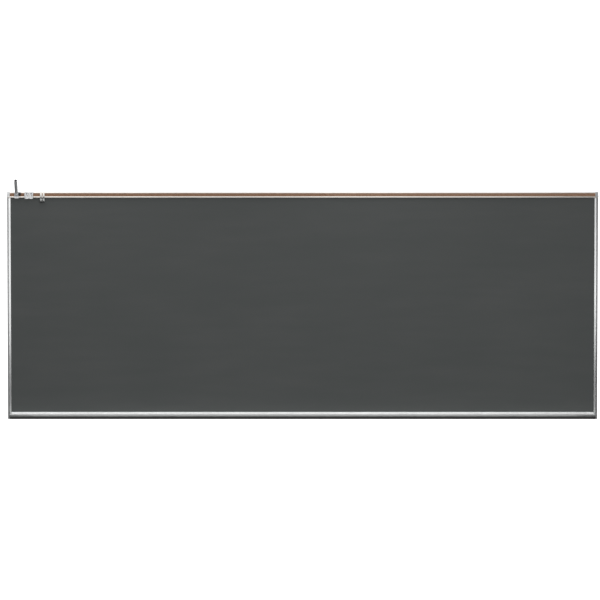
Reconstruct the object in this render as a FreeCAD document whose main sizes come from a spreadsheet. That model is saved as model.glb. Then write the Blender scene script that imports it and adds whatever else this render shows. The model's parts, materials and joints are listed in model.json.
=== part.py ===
import FreeCAD, Part
import math
import os
import re
import Sketcher

# A ten-foot wall chalkboard: an enamelled steel panel in aluminium trims, with a cork map rail on top
# and a chalk tray below. A flag holder, a pair of map roller brackets and two map clips ride on the rail.
#
# X runs to the right along the board, -Y comes out of the wall towards the class and Z is up. The origin
# is on the wall plane, in the middle of the wall fixings. Depths are measured out from the wall, and
# drops are measured down from the top of the map rail.

DIMENSIONS = [
    # alias, millimetres, what it measures
    ("board_wide", 3060, "outer width over the side trims"),
    ("board_high", 1180, "height from the tray's underside to the rail's top"),
    ("skin", 1.8, "wall of the aluminium extrusions"),
    ("slack", 0.1, "play between pieces that are slid together"),
    # panel
    ("panel_back", 9.5, "depth of the panel's back"),
    ("backer_thick", 0.4, "foil backer"),
    ("core_thick", 11.8, "fibreboard core"),
    ("enamel_thick", 0.5, "enamelled steel writing sheet"),
    ("panel_inset", 10.5, "from the board's side to the panel's edge"),
    ("panel_drop", 6, "from the rail's top down to the panel's edge"),
    ("panel_rise", 7, "from the board's underside up to the panel's edge"),
    # back legs of all four extrusions
    ("leg_back", 7.5, "depth of the back legs' rear face"),
    ("leg_front", 9.4, "depth of the back legs' front face"),
    ("front_leg", 22.3, "depth of the lips in front of the panel, at their rear face"),
    # side trims
    ("trim_face", 17.6, "width of a side trim's face"),
    ("trim_edge", 23.6, "depth of the trim's outer edge"),
    ("trim_ridge", 26.5, "depth of the trim's crown"),
    ("trim_ridge_in", 8.6, "from the board's side to the crown"),
    # map rail
    ("rail_front", 38, "depth of the rail's front"),
    ("rail_high", 28, "height of the rail's front"),
    ("lip_high", 4, "height of the lip over the cork"),
    ("cork_high", 16, "height of the cork strip"),
    ("groove_back", 34.5, "depth of the cork groove's floor"),
    ("cork_proud", 37.6, "depth of the cork's face"),
    ("cork_joint", 124, "where the two cork strips meet, right of the middle"),
    ("channel_back", 25.9, "depth of the top channel's rear wall"),
    ("channel_front", 32.7, "depth of the top channel's front wall"),
    ("channel_deep", 12, "depth of the top channel below the rail's top"),
    ("rail_cap", 2, "thickness of the plate on each end of the rail"),
    ("rail_leg_drop", 44, "drop of the rail's back leg"),
    # hooks that hang the board, on the back legs of rail and tray
    ("fin_back", 3.4, "depth of the hook fin's rear face"),
    ("fin_thick", 1.6, "thickness of the hook fin and of its web"),
    ("fin_long", 12.6, "height of the hook"),
    ("rail_web_drop", 20, "drop of the underside of the rail's hook web"),
    ("tray_web_rise", 40, "rise of the underside of the tray's hook web"),
    # chalk tray
    ("tray_floor", 27, "rise of the trough's floor"),
    ("tray_flange", 37, "rise of the flange behind the trough"),
    ("flange_thick", 2, "thickness of that flange"),
    ("tray_nose", 86, "depth of the tray's nose"),
    ("nose_low", 19.4, "rise of the nose's lower edge"),
    ("nose_high", 31.4, "rise of the nose's upper edge"),
    ("nose_wide", 8, "thickness of the nose from front to back"),
    ("keel_front", 30, "depth where the tray's underside starts to slope"),
    ("tray_leg_rise", 44, "rise of the tray's back leg"),
    ("rib_high", 0.8, "height of the ribs in the trough"),
    ("rib_wide", 2, "width of a rib"),
    ("rib_start", 42, "depth of the first rib"),
    ("rib_pitch", 12, "spacing of the ribs"),
    ("port_bore", 1.45, "radius of the screw ports in rail and tray"),
    # caps and stops
    ("cap_thick", 5.6, "thickness of the tray's end caps"),
    ("cap_back", 26.8, "depth of the end caps' rear edge"),
    ("cap_overlap", 1, "how far an end cap stands proud of the tray"),
    ("stop_long", 14.5, "length of a rail end stop along the rail"),
    ("stop_thick", 1.4, "thickness of the end stop's hood"),
    ("stop_drop", 22, "drop of the end stop's hood"),
    # corner plates
    ("plate_thick", 1.5, "thickness of the corner plates"),
    ("plate_arm", 60, "length of a corner plate's arm"),
    ("plate_wide", 13, "width of a corner plate's arm"),
    ("plate_side", 3, "from the board's side to a corner plate"),
    ("plate_drop", 31, "drop of the upper corner plates"),
    ("plate_rise", 10, "rise of the lower corner plates"),
    ("plate_screw_near", 24, "first screw from the corner"),
    ("plate_screw_far", 50, "second screw from the corner"),
    # screws
    ("screw_shank", 1.75, "radius of the frame screws' shanks"),
    ("screw_hole", 1.95, "radius of the clearance holes for them"),
    ("screw_head", 3.3, "radius of the screws' pan heads"),
    ("screw_head_high", 1.8, "height of the pan heads"),
    ("screw_long", 10, "length of the screws in the ends of rail and tray"),
    # wall hangers and bottom clips
    ("hanger_wide", 38, "width of a hanger"),
    ("hanger_thick", 1.5, "steel of hangers and clips"),
    ("hanger_lip_back", 5.5, "depth of the hanger's lip"),
    ("hanger_lip_high", 14.5, "height of the hanger's lip"),
    ("hanger_drop", 34.5, "drop of the hanger's web"),
    ("hanger_foot", 66, "drop of the hanger's lower edge"),
    ("clip_rise", 24, "rise of the bottom clip's web"),
    ("clip_lip_high", 14, "height of the bottom clip's lip"),
    ("clip_top", 64, "rise of the bottom clip's upper edge"),
    ("wall_hole", 2.75, "radius of the wall screw holes"),
    ("wall_hole_inset", 51, "from the board's top or underside to the wall screw holes"),
    ("stud_pitch", 812.8, "spacing of the hangers along the wall"),
    # what all the rail's accessories share
    ("ride_gap", 0.3, "clearance between an accessory and the rail"),
    ("ride_leg_drop", 9, "how far an accessory's leg reaches into the channel"),
    # flag holder
    ("flag_x", -1480, "place of the flag holder along the rail"),
    ("flag_wide", 22, "width of its bracket"),
    ("flag_thick", 2, "steel of its bracket"),
    ("flag_drop", 30, "drop of its bracket's front plate"),
    ("flag_lean", 45, "degrees that the tube leans out from the wall"),
    ("flag_depth", 48.5, "depth of the socket's middle"),
    ("flag_axis_drop", 9, "drop of the socket's middle"),
    ("socket_radius", 9.6, "outside of the tube's socket"),
    ("socket_below", 5, "socket below its middle"),
    ("socket_above", 9, "socket above its middle"),
    ("socket_floor", 2, "floor of the socket"),
    ("tube_radius", 7.8, "outside of the flag tube"),
    ("tube_bore", 6.6, "inside of the flag tube"),
    ("tube_long", 110, "length of the flag tube"),
    ("thumb_screw", 2.5, "radius of the staff screw"),
    ("thumb_radius", 9, "radius of the staff screw's knob"),
    ("thumb_long", 12, "length of the knob"),
    ("thumb_start", 10.4, "from the socket's middle to the knob"),
    ("thumb_grip", 6, "how far the staff screw reaches into the knob"),
    ("thumb_round", 1.2, "rounding of the knob's rims"),
    # map roller brackets
    ("roller_left_x", -1427.5, "place of the left roller bracket"),
    ("roller_right_x", -1404.5, "place of the right roller bracket"),
    ("roller_wide", 21, "width of a roller bracket"),
    ("roller_thick", 1.5, "steel of the roller brackets"),
    ("roller_drop", 33, "drop of a roller bracket"),
    ("arm_depth", 64, "depth of the roller arm's end"),
    ("arm_top_drop", 7, "drop of the roller arm's upper edge"),
    ("roller_hole_depth", 54, "depth of the roller pin's seat"),
    ("roller_hole_drop", 20, "drop of the roller pin's seat"),
    ("roller_hole", 4, "radius of the roller pin's seat"),
    ("plate_hole_side", 3.5, "from the bracket's middle to the hole in its plate"),
    ("plate_hole_drop", 17, "drop of that hole"),
    ("plate_hole", 2.6, "radius of that hole"),
    ("clamp_drop", 6.4, "drop of the clamp screw"),
    ("clamp_shank", 2, "radius of the clamp screw"),
    ("clamp_head", 3.6, "radius of the clamp screw's head"),
    ("clamp_head_high", 2.2, "height of its head"),
    ("slot_half", 0.5, "half the width of the slot in its head"),
    ("slot_deep", 1, "depth of that slot"),
    ("clamp_tip_gap", 0.15, "clearance between the screw's tip and the rail"),
    ("pivot_play", 0.06, "radial clearance of pins and screws that turn"),
    # map clips
    ("hook_left_x", -1353.5, "place of the left map clip"),
    ("hook_right_x", -1340, "place of the right map clip"),
    ("hook_wide", 9.4, "width of a map clip"),
    ("hook_thick", 1.2, "steel of its hook"),
    ("hook_drop", 19, "drop of its hook"),
    ("jaw_thick", 1, "steel of its jaws"),
    ("neck_wide", 4.6, "width of the rear jaw's neck"),
    ("neck_drop", 12, "drop of the neck's upper end"),
    ("shoulder_drop", 27, "drop of the rear jaw's shoulders"),
    ("jaw_drop", 47.5, "drop of the jaws' steel ends"),
    ("tip_drop", 53.5, "drop of the vinyl tips"),
    ("tip_thick", 2.4, "thickness of a vinyl tip"),
    ("tip_gap", 0.2, "gap between the closed tips"),
    ("rivet_drop", 15.6, "drop of the rivet"),
    ("rivet_shank", 1, "radius of the rivet"),
    ("rivet_head", 1.8, "radius of its head"),
    ("rivet_head_high", 0.9, "height of its head"),
    ("rivet_round", 0.7, "rounding of its head"),
    ("pivot_depth", 44.5, "depth of the jaw's pivot"),
    ("pivot_drop", 36, "drop of the jaw's pivot"),
    ("pin_radius", 0.8, "radius of the pivot pin"),
    ("pin_head", 1.3, "radius of its heads"),
    ("pin_head_high", 0.7, "height of its heads"),
    ("lug_radius", 2.6, "radius of the jaws' pivot lugs"),
    ("lug_thick", 1.2, "thickness of the front jaw's lugs"),
    ("ear_thick", 0.8, "thickness of the rear jaw's ears"),
    ("ear_gap", 0.3, "gap between an ear and the front jaw"),
    ("knee_drop", 34, "drop of the front jaw's bend over the pivot"),
    ("heel_drop", 41.3, "drop of its bend under the pivot"),
    ("tab_depth", 56, "depth of the thumb tab's end"),
    ("tab_drop", 22, "drop of the thumb tab's end"),
    ("coil_radius", 1.9, "outside of the spring's coil"),
    ("coil_bore", 1.2, "inside of the spring's coil"),
]

document = FreeCAD.newDocument("Chalkboard")
sheet = document.addObject("Spreadsheet::Sheet", "sizes")
for row, (alias, millimetres, meaning) in enumerate(DIMENSIONS, start=1):
    sheet.set(f"A{row}", meaning)
    sheet.set(f"B{row}", str(millimetres))
    sheet.setAlias(f"B{row}", alias)
document.recompute()

NODES = []  # the finished sub-parts, each written to a file of its own


# ---------------------------------------------------------------- helpers


def formula(text):
    """A formula in the sheet's aliases, with each alias pointed at its cell."""
    return re.sub(r"[a-z_]{3,}\b(?!\()", lambda word: "sizes." + word.group(), str(text))


def bind(thing, **formulas):
    """Tie properties to the sheet. A double underscore stands for a dot, as in Placement__Base__x."""
    for name, text in formulas.items():
        thing.setExpression(name.replace("__", "."), formula(text))


def place(thing, across="0", depth="0", up="0"):
    """Put an object at its place along the board, out from the wall and up."""
    bind(
        thing,
        Placement__Base__x=across,
        Placement__Base__y=f"-({depth})",
        Placement__Base__z=up,
    )


def node(thing, label):
    """Name a finished sub-part and keep it for export."""
    thing.Label = label
    NODES.append(thing)
    return thing


def new_body(name, **where):
    body = document.addObject("PartDesign::Body", name + "_body")
    place(body, **where)
    return body


def origin_plane(body, role):
    return next(f for f in body.Origin.OriginFeatures if f.Role == role)


def new_sketch(body, plane, start):
    """A sketch on one of the body's own origin planes, moved along that plane's normal by start."""
    sketch = body.newObject("Sketcher::SketchObject", body.Name + "_sketch")
    sketch.AttachmentSupport = (origin_plane(body, plane), [""])
    sketch.MapMode = "FlatFace"
    bind(sketch, AttachmentOffset__Base__z=start)
    return sketch


def draw_outline(sketch, corners):
    """Draw a closed outline and hold every corner, a pair of formulas, to the sheet."""
    first, count = sketch.GeometryCount, len(corners)
    ring = [
        FreeCAD.Vector(math.cos(math.tau * i / count), math.sin(math.tau * i / count), 0)
        for i in range(count)
    ]
    for i in range(count):
        sketch.addGeometry(Part.LineSegment(ring[i], ring[(i + 1) % count]), False)
    for i, (across, up) in enumerate(corners):
        after = first + (i + 1) % count
        sketch.addConstraint(Sketcher.Constraint("Coincident", first + i, 2, after, 1))
        hold(sketch, "DistanceX", first + i, 1, ring[i].x, across)
        hold(sketch, "DistanceY", first + i, 1, ring[i].y, up)


def draw_circle(sketch, across, up, radius):
    """Draw a circle whose centre and radius are formulas."""
    at = sketch.GeometryCount
    sketch.addGeometry(Part.Circle(FreeCAD.Vector(0, 0, 0), FreeCAD.Vector(0, 0, 1), 1), False)
    hold(sketch, "DistanceX", at, 3, 1, across)
    hold(sketch, "DistanceY", at, 3, 1, up)
    round_size = sketch.addConstraint(Sketcher.Constraint("Radius", at, 1.0))
    bind_constraint(sketch, round_size, radius)


def hold(sketch, kind, geometry, point, start, text):
    """Fix one coordinate of a point from the sketch's origin."""
    made = sketch.addConstraint(Sketcher.Constraint(kind, -1, 1, geometry, point, start))
    bind_constraint(sketch, made, text)


def bind_constraint(sketch, number, text):
    sketch.setExpression(f"Constraints[{number}]", formula(text))


def side_on(*corners):
    """Corners given as (depth, height) for a sketch on the YZ plane, where depth runs towards -Y."""
    return [(f"-({depth})", height) for depth, height in corners]


def pad(body, plane, length, outlines=(), circles=(), start="0", symmetric=False):
    """Extrude outlines and circles along the plane's normal. The XZ plane's normal comes out of the wall."""
    sketch = new_sketch(body, plane, start)
    for corners in outlines:
        draw_outline(sketch, corners)
    for circle in circles:
        draw_circle(sketch, *circle)
    made = body.newObject("PartDesign::Pad", body.Name + "_pad")
    made.Profile = sketch
    made.Midplane = symmetric
    bind(made, Length=length)
    document.recompute()
    return made


def pocket(body, plane, length, outlines=(), circles=(), start="0", symmetric=False):
    """Cut along the plane's normal, and make sure that something went."""
    before = body.Shape.Volume
    sketch = new_sketch(body, plane, start)
    for corners in outlines:
        draw_outline(sketch, corners)
    for circle in circles:
        draw_circle(sketch, *circle)
    made = body.newObject("PartDesign::Pocket", body.Name + "_pocket")
    made.Profile = sketch
    made.Midplane = symmetric
    made.Reversed = not symmetric
    bind(made, Length=length)
    document.recompute()
    if body.Shape.Volume > before - 0.01:
        raise ValueError(f"a pocket in {body.Name} cuts nothing")
    return made


def value(alias):
    return float(sheet.get(alias))


def lines_through(shape, point, direction):
    """The names of the straight edges along direction whose line passes through point."""
    found = []
    for number, edge in enumerate(shape.Edges, start=1):
        if not isinstance(edge.Curve, Part.Line):
            continue
        along = edge.tangentAt(edge.FirstParameter)
        away = edge.Vertexes[0].Point - point
        if along.cross(direction).Length < 1e-6 and away.cross(direction).Length < 1e-3:
            found.append(f"Edge{number}")
    return found


def round_edges(body, radius, names):
    """Fillet edges of the body's last feature. radius is a formula."""
    if not names:
        raise ValueError(f"no edge to round in {body.Name}")
    last = body.Tip
    made = body.newObject("PartDesign::Fillet", body.Name + "_fillet")
    made.Base = (last, names)
    bind(made, Radius=radius)
    document.recompute()
    return made


def round_corners(body, feature, radii):
    """Round corners of an extruded outline. radii maps a radius to the numbers of its corners."""
    sketch = feature.Profile[0]
    normal = sketch.Placement.Rotation.multVec(FreeCAD.Vector(0, 0, 1))
    lines = [line for line in sketch.Geometry if isinstance(line, Part.LineSegment)]
    points = [sketch.Placement.multVec(line.StartPoint) for line in lines]
    for radius, corners in radii.items():
        names = [
            name
            for corner in corners
            for name in lines_through(body.Tip.Shape, points[corner], normal)
        ]
        round_edges(body, radius, names)


def block(name, across, depth, up, wide, deep, high):
    """A plain box from its low corner along the board, its near face to the wall and its underside."""
    box = document.addObject("Part::Box", name)
    bind(box, Length=wide, Width=deep, Height=high)
    place(box, across, f"{depth} + {deep}", up)
    return box


# ---------------------------------------------------------------- panel

TOP = "board_high / 2"
BOTTOM = "-board_high / 2"
SIDE = "board_wide / 2"


def panel_sheet(label, depth, thick):
    """One layer of the laminated panel, held by all four extrusions."""
    high = "board_high - panel_drop - panel_rise"
    wide = "board_wide - 2 * panel_inset"
    node(
        block(
            label + "_box",
            across=f"-({wide}) / 2",
            depth=depth,
            up=f"{BOTTOM} + panel_rise",
            wide=wide,
            deep=thick,
            high=high,
        ),
        label,
    )


panel_sheet("panel_backer", "panel_back", "backer_thick")
panel_sheet("panel_core", "panel_back + backer_thick", "core_thick")
panel_sheet("writing_surface", "panel_back + backer_thick + core_thick", "enamel_thick")


# ---------------------------------------------------------------- side trims


def side_trim(label, sign):
    """A box-backed trim with a crowned face, which wraps the panel's end and butts under the rail."""
    body = new_body(label, up=BOTTOM)

    def corner(inward, depth):
        return f"{sign} * ({SIDE} - ({inward}))", f"-({depth})"

    outline = [
        corner("0", "0"),
        corner("0", "trim_edge"),
        corner("trim_ridge_in", "trim_ridge"),
        corner("trim_face", "front_leg + skin"),
        corner("trim_face", "front_leg"),
        corner("skin", "front_leg"),
        corner("skin", "leg_front"),
        corner("trim_face", "leg_front"),
        corner("trim_face", "leg_back"),
        corner("skin", "leg_back"),
        corner("skin", "0"),
    ]
    made = pad(body, "XY_Plane", "board_high - rail_high", [outline])
    round_corners(body, made, {"1.4": [1], "5": [2], "0.6": [3]})
    node(body, label)


side_trim("left_side_trim", -1)
side_trim("right_side_trim", 1)


# ---------------------------------------------------------------- map rail

RAIL_LONG = "(board_wide - 2 * rail_cap)"
LEG_LONG = "(board_wide - 2 * trim_face - 4 * slack)"
RAIL_PORT = ("(groove_back + front_leg) / 2", "-(channel_deep + rail_high) / 2")


def hook_outline(web, sign):
    """The six corners of a hook behind a back leg: a web that stands off the leg, and a fin that hangs down.

    web is the height of the web's underside. sign is 1 where the outline comes down the leg, and -1
    where it goes up the leg.
    """
    corners = [
        ("leg_back", f"{web} + fin_thick"),
        ("fin_back", f"{web} + fin_thick"),
        ("fin_back", f"{web} + fin_thick - fin_long"),
        ("fin_back + fin_thick", f"{web} + fin_thick - fin_long"),
        ("fin_back + fin_thick", web),
        ("leg_back", web),
    ]
    return corners[::sign]


def map_rail():
    """The top extrusion: panel channel, open accessory channel, lip, cork groove and rounded strip."""
    body = new_body("map_rail", up=TOP)
    panel_top = "(-panel_drop + 1)"
    outline = side_on(
        ("rail_front", "0"),
        ("rail_front", "-lip_high"),
        ("groove_back", "-lip_high"),
        ("groove_back", "-lip_high - cork_high"),
        ("rail_front", "-lip_high - cork_high"),
        ("rail_front", "-rail_high"),
        ("front_leg", "-rail_high"),
        ("front_leg", panel_top),
        ("leg_front", panel_top),
        ("leg_front", "-rail_leg_drop"),
        ("leg_back", "-rail_leg_drop"),
        *hook_outline("-rail_web_drop", -1),
        ("leg_back", f"{panel_top} + skin"),
        ("channel_back - skin", f"{panel_top} + skin"),
        ("channel_back - skin", "0"),
        ("channel_back", "0"),
        ("channel_back", "-channel_deep"),
        ("channel_front", "-channel_deep"),
        ("channel_front", "0"),
    )
    floor = "-channel_deep - skin"
    shelf = "-lip_high - cork_high - skin"
    hollow = side_on(
        ("front_leg + skin", floor),
        ("groove_back - skin", floor),
        ("groove_back - skin", shelf),
        ("rail_front - skin", shelf),
        ("rail_front - skin", "-rail_high + skin"),
        ("front_leg + skin", "-rail_high + skin"),
    )
    made = pad(body, "YZ_Plane", RAIL_LONG, [outline, hollow], symmetric=True)
    round_corners(body, made, {"0.8": [0, 1], "1.2": [4], "3.4": [5], "0.4": [20, 23]})
    port = (f"-({RAIL_PORT[0]})", RAIL_PORT[1])
    ring = [(*port, "(groove_back - front_leg - 2 * skin) / 2 + 0.2"), (*port, "port_bore")]
    pad(body, "YZ_Plane", RAIL_LONG, circles=ring, symmetric=True)
    for sign in (-1, 1):
        cope = [
            (f"{sign} * {LEG_LONG} / 2", "-rail_high"),
            (f"{sign} * {SIDE}", "-rail_high"),
            (f"{sign} * {SIDE}", "-rail_leg_drop - 1"),
            (f"{sign} * {LEG_LONG} / 2", "-rail_leg_drop - 1"),
        ]
        pocket(body, "XZ_Plane", "front_leg", [cope])
    node(body, "map_rail")


map_rail()


def cork_strip(label, low, high):
    """A strip of map rail cork, glued into the rail's groove."""
    strip = block(
        label + "_box",
        across=low,
        depth="groove_back",
        up=f"{TOP} - lip_high - cork_high",
        wide=f"({high}) - ({low})",
        deep="(cork_proud - groove_back)",
        high="cork_high",
    )
    node(strip, label)


cork_strip("cork_strip_left", f"-{RAIL_LONG} / 2", "cork_joint")
cork_strip("cork_strip_right", "cork_joint", f"{RAIL_LONG} / 2")


# ---------------------------------------------------------------- chalk tray

NOSE_PORT = ("tray_nose - nose_wide / 2 - 0.3", "(nose_low + nose_high) / 2 + 0.4")
KEEL_PORT = ("keel_front + 1.5", "tray_floor - skin - 2.6")
TRAY_PORTS = [NOSE_PORT, KEEL_PORT]


def rib_corners():
    """The ribs along the trough's floor, from the front one to the back one."""
    corners = []
    for number in (2, 1, 0):
        back = f"rib_start + {number} * rib_pitch"
        corners += [
            (f"{back} + rib_wide", "tray_floor"),
            (f"{back} + rib_wide * 0.7", "tray_floor + rib_high"),
            (f"{back} + rib_wide * 0.3", "tray_floor + rib_high"),
            (back, "tray_floor"),
        ]
    return corners


def chalk_tray():
    """The bottom extrusion: panel channel, coved flange, ribbed trough and hollow nose."""
    body = new_body("chalk_tray", up=BOTTOM)
    flange_front = "front_leg + flange_thick"
    ribs = rib_corners()
    outline = side_on(
        ("leg_back", "0"),
        ("keel_front", "0"),
        ("tray_nose", "nose_low"),
        ("tray_nose", "nose_high"),
        ("tray_nose - nose_wide", "nose_high"),
        ("tray_nose - nose_wide - 2", "tray_floor"),
        *ribs,
        (flange_front, "tray_floor"),
        (flange_front, "tray_flange"),
        ("front_leg", "tray_flange"),
        ("front_leg", "panel_rise"),
        ("leg_front", "panel_rise"),
        ("leg_front", "tray_leg_rise"),
        ("leg_back", "tray_leg_rise"),
        *hook_outline("tray_web_rise", 1),
    )
    nose_wall = "tray_nose - skin"
    hollow = side_on(
        ("leg_front", "skin"),
        ("keel_front - 0.4", "skin"),
        (nose_wall, "nose_low + 1.4"),
        (nose_wall, "nose_high - skin"),
        ("tray_nose - nose_wide + skin", "nose_high - skin"),
        ("tray_nose - nose_wide", "tray_floor - skin"),
        (flange_front, "tray_floor - skin"),
        (flange_front, "panel_rise - skin"),
        ("leg_front", "panel_rise - skin"),
    )
    made = pad(body, "YZ_Plane", LEG_LONG, [outline, hollow], symmetric=True)
    cove = 6 + len(ribs)
    rounding = {"1.5": [1, 3, 5], "2.4": [2, 4], "8.5": [cove], "0.8": [cove + 1]}
    round_corners(body, made, rounding)
    rings = [
        (f"-({depth})", rise, radius)
        for depth, rise in TRAY_PORTS
        for radius in ("port_bore + 1.5", "port_bore")
    ]
    pad(body, "YZ_Plane", LEG_LONG, circles=rings, symmetric=True)
    node(body, "chalk_tray")


chalk_tray()


def tray_end_cap(label, sign):
    """A cast plate that closes one end of the trough, held by two screws into the tray's ports."""
    start = f"({LEG_LONG} / 2 + slack)" if sign > 0 else f"(-{LEG_LONG} / 2 - slack - cap_thick)"
    body = new_body(label, across=start, up=BOTTOM)
    outline = side_on(
        ("cap_back", "-cap_overlap / 2"),
        ("keel_front", "-cap_overlap / 2"),
        ("tray_nose + cap_overlap", "nose_low - cap_overlap"),
        ("tray_nose + cap_overlap", "nose_high + cap_overlap"),
        ("(cap_back + tray_nose) / 2", "tray_flange + cap_overlap / 2"),
        ("cap_back", "tray_flange + cap_overlap / 2"),
    )
    holes = [(f"-({depth})", rise, "screw_hole") for depth, rise in TRAY_PORTS]
    made = pad(body, "YZ_Plane", "cap_thick", [outline], holes)
    round_corners(body, made, {"1.5": [1], "3": [2], "4": [3], "12": [4]})
    node(body, label)


tray_end_cap("tray_end_cap_left", -1)
tray_end_cap("tray_end_cap_right", 1)


# ---------------------------------------------------------------- rail end stops


def rail_end_stop(label, sign):
    """A cap on the rail's end. Its hood covers the end of the cork and stops the accessories."""
    body = new_body(label, across=f"{sign} * {SIDE}", up=TOP)
    hood_front = "rail_front + slack / 2 + stop_thick"
    plate = side_on(
        ("front_leg", "-rail_high"),
        ("rail_front", "-rail_high"),
        (hood_front, "-stop_drop"),
        (hood_front, "stop_thick"),
        ("channel_back - skin", "stop_thick"),
        ("front_leg", "-channel_deep"),
    )
    port = [(f"-({RAIL_PORT[0]})", RAIL_PORT[1], "screw_hole")]
    start = "-rail_cap" if sign > 0 else "0"
    made = pad(body, "YZ_Plane", "rail_cap", [plate], port, start=start)
    round_corners(body, made, {"1": [3]})
    hood = side_on(
        (hood_front, "-stop_drop"),
        (hood_front, "stop_thick"),
        ("channel_back - skin", "stop_thick"),
        ("channel_back - skin", "slack / 2"),
        ("rail_front + slack / 2", "slack / 2"),
        ("rail_front + slack / 2", "-stop_drop"),
    )
    start = "-stop_long" if sign > 0 else "0"
    pad(body, "YZ_Plane", "stop_long", [hood], start=start)
    node(body, label)


rail_end_stop("rail_end_stop_left", -1)
rail_end_stop("rail_end_stop_right", 1)


# ---------------------------------------------------------------- corner plates and frame screws

CORNERS = {
    "top_left": (-1, -1, f"{TOP} - plate_drop"),
    "top_right": (1, -1, f"{TOP} - plate_drop"),
    "bottom_left": (-1, 1, f"{BOTTOM} + plate_rise"),
    "bottom_right": (1, 1, f"{BOTTOM} + plate_rise"),
}
PLATE_SIDE = f"({SIDE} - plate_side)"


def plate_screw_places(side, way, level):
    """The four screws of a corner plate: two along each arm, on the arm's middle line."""
    middle = "plate_wide / 2"
    for along in ("plate_screw_near", "plate_screw_far"):
        yield f"{side} * ({PLATE_SIDE} - {along})", f"{level} + {way} * {middle}"
        yield f"{side} * ({PLATE_SIDE} - {middle})", f"{level} + {way} * {along}"


def corner_plate(name, side, way, level):
    """A flat steel angle that joins a side trim's back lip to the leg of the rail or the tray."""
    body = new_body("corner_plate_" + name, depth="leg_back - plate_thick")

    def corner(inward, along):
        return f"{side} * ({PLATE_SIDE} - ({inward}))", f"{level} + {way} * ({along})"

    outline = [
        corner("0", "0"),
        corner("plate_arm", "0"),
        corner("plate_arm", "plate_wide"),
        corner("plate_wide", "plate_wide"),
        corner("plate_wide", "plate_arm"),
        corner("0", "plate_arm"),
    ]
    holes = [(*at, "screw_hole") for at in plate_screw_places(side, way, level)]
    made = pad(body, "XZ_Plane", "plate_thick", [outline], holes)
    round_corners(body, made, {"2": [0, 1, 2, 4, 5]})
    node(body, "corner_plate_" + name)


for name, (side, way, level) in CORNERS.items():
    corner_plate(name, side, way, level)


def rims(shape, plane_value, axis):
    """The names of the circular edges that lie on a plane across an axis, given as 'x' or 'y'."""
    return [
        f"Edge{number}"
        for number, edge in enumerate(shape.Edges, start=1)
        if isinstance(edge.Curve, Part.Circle)
        and abs(getattr(edge.CenterOfMass, axis) - plane_value) < 1e-3
    ]


def corner_screws():
    """Pan head screws through the corner plates, driven from behind into the extrusions' back legs."""
    body = new_body("corner_screws", depth="leg_back - plate_thick")
    places = [at for corner in CORNERS.values() for at in plate_screw_places(*corner)]
    shanks = [(*at, "screw_shank") for at in places]
    heads = [(*at, "screw_head") for at in places]
    pad(body, "XZ_Plane", "plate_thick + leg_front - leg_back", circles=shanks)
    pad(body, "XZ_Plane", "screw_head_high", circles=heads, start="-screw_head_high")
    round_edges(body, "1", rims(body.Tip.Shape, value("screw_head_high"), "y"))
    node(body, "corner_screws")


corner_screws()


def end_screws(label, face, level, ports):
    """Pan head screws into the ends of an extrusion. face is how far out the heads bear."""
    body = new_body(label, up=level)
    for sign in (-1, 1):
        shanks = [(f"-({depth})", rise, "screw_shank") for depth, rise in ports]
        heads = [(f"-({depth})", rise, "screw_head") for depth, rise in ports]
        inner = f"{face} - screw_long" if sign > 0 else f"-({face})"
        outer = face if sign > 0 else f"-({face}) - screw_head_high"
        pad(body, "YZ_Plane", "screw_long", circles=shanks, start=inner)
        pad(body, "YZ_Plane", "screw_head_high", circles=heads, start=outer)
    out = body.Tip.Shape.BoundBox.XMax
    domes = rims(body.Tip.Shape, out, "x") + rims(body.Tip.Shape, -out, "x")
    round_edges(body, "1", domes)
    node(body, label)


end_screws("end_cap_screws", f"{LEG_LONG} / 2 + slack + cap_thick", BOTTOM, TRAY_PORTS)
end_screws("end_stop_screws", SIDE, TOP, [RAIL_PORT])


# ---------------------------------------------------------------- wall hangers and bottom clips


def wall_fixing(label, across, corners, hole_height):
    """A bent steel clip with one hole for the wall screw."""
    body = new_body(label, across=across)
    made = pad(body, "YZ_Plane", "hanger_wide", [side_on(*corners)], symmetric=True)
    round_corners(body, made, {"0.6": [3, 4]})
    pocket(body, "XZ_Plane", "2 * hanger_thick", circles=[("0", hole_height, "wall_hole")])
    node(body, label)


LIP_FRONT = "hanger_lip_back + hanger_thick"
HANGER_WEB = f"{TOP} - hanger_drop"
HANGER = [
    ("0", f"{TOP} - hanger_foot"),
    ("hanger_thick", f"{TOP} - hanger_foot"),
    ("hanger_thick", HANGER_WEB),
    (LIP_FRONT, HANGER_WEB),
    (LIP_FRONT, f"{HANGER_WEB} + hanger_lip_high"),
    ("hanger_lip_back", f"{HANGER_WEB} + hanger_lip_high"),
    ("hanger_lip_back", f"{HANGER_WEB} + hanger_thick"),
    ("0", f"{HANGER_WEB} + hanger_thick"),
]
CLIP_WEB = f"{BOTTOM} + clip_rise"
BOTTOM_CLIP = [
    ("0", CLIP_WEB),
    (LIP_FRONT, CLIP_WEB),
    (LIP_FRONT, f"{CLIP_WEB} + clip_lip_high"),
    ("hanger_lip_back", f"{CLIP_WEB} + clip_lip_high"),
    ("hanger_lip_back", f"{CLIP_WEB} + hanger_thick"),
    ("hanger_thick", f"{CLIP_WEB} + hanger_thick"),
    ("hanger_thick", f"{BOTTOM} + clip_top"),
    ("0", f"{BOTTOM} + clip_top"),
]

for number in range(4):
    across = f"{number - 1.5} * stud_pitch"
    wall_fixing(f"wall_hanger_{number + 1}", across, HANGER, f"{TOP} - wall_hole_inset")
    wall_fixing(f"bottom_clip_{number + 1}", across, BOTTOM_CLIP, f"{BOTTOM} + wall_hole_inset")


# ---------------------------------------------------------------- what hangs on the rail


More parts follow.
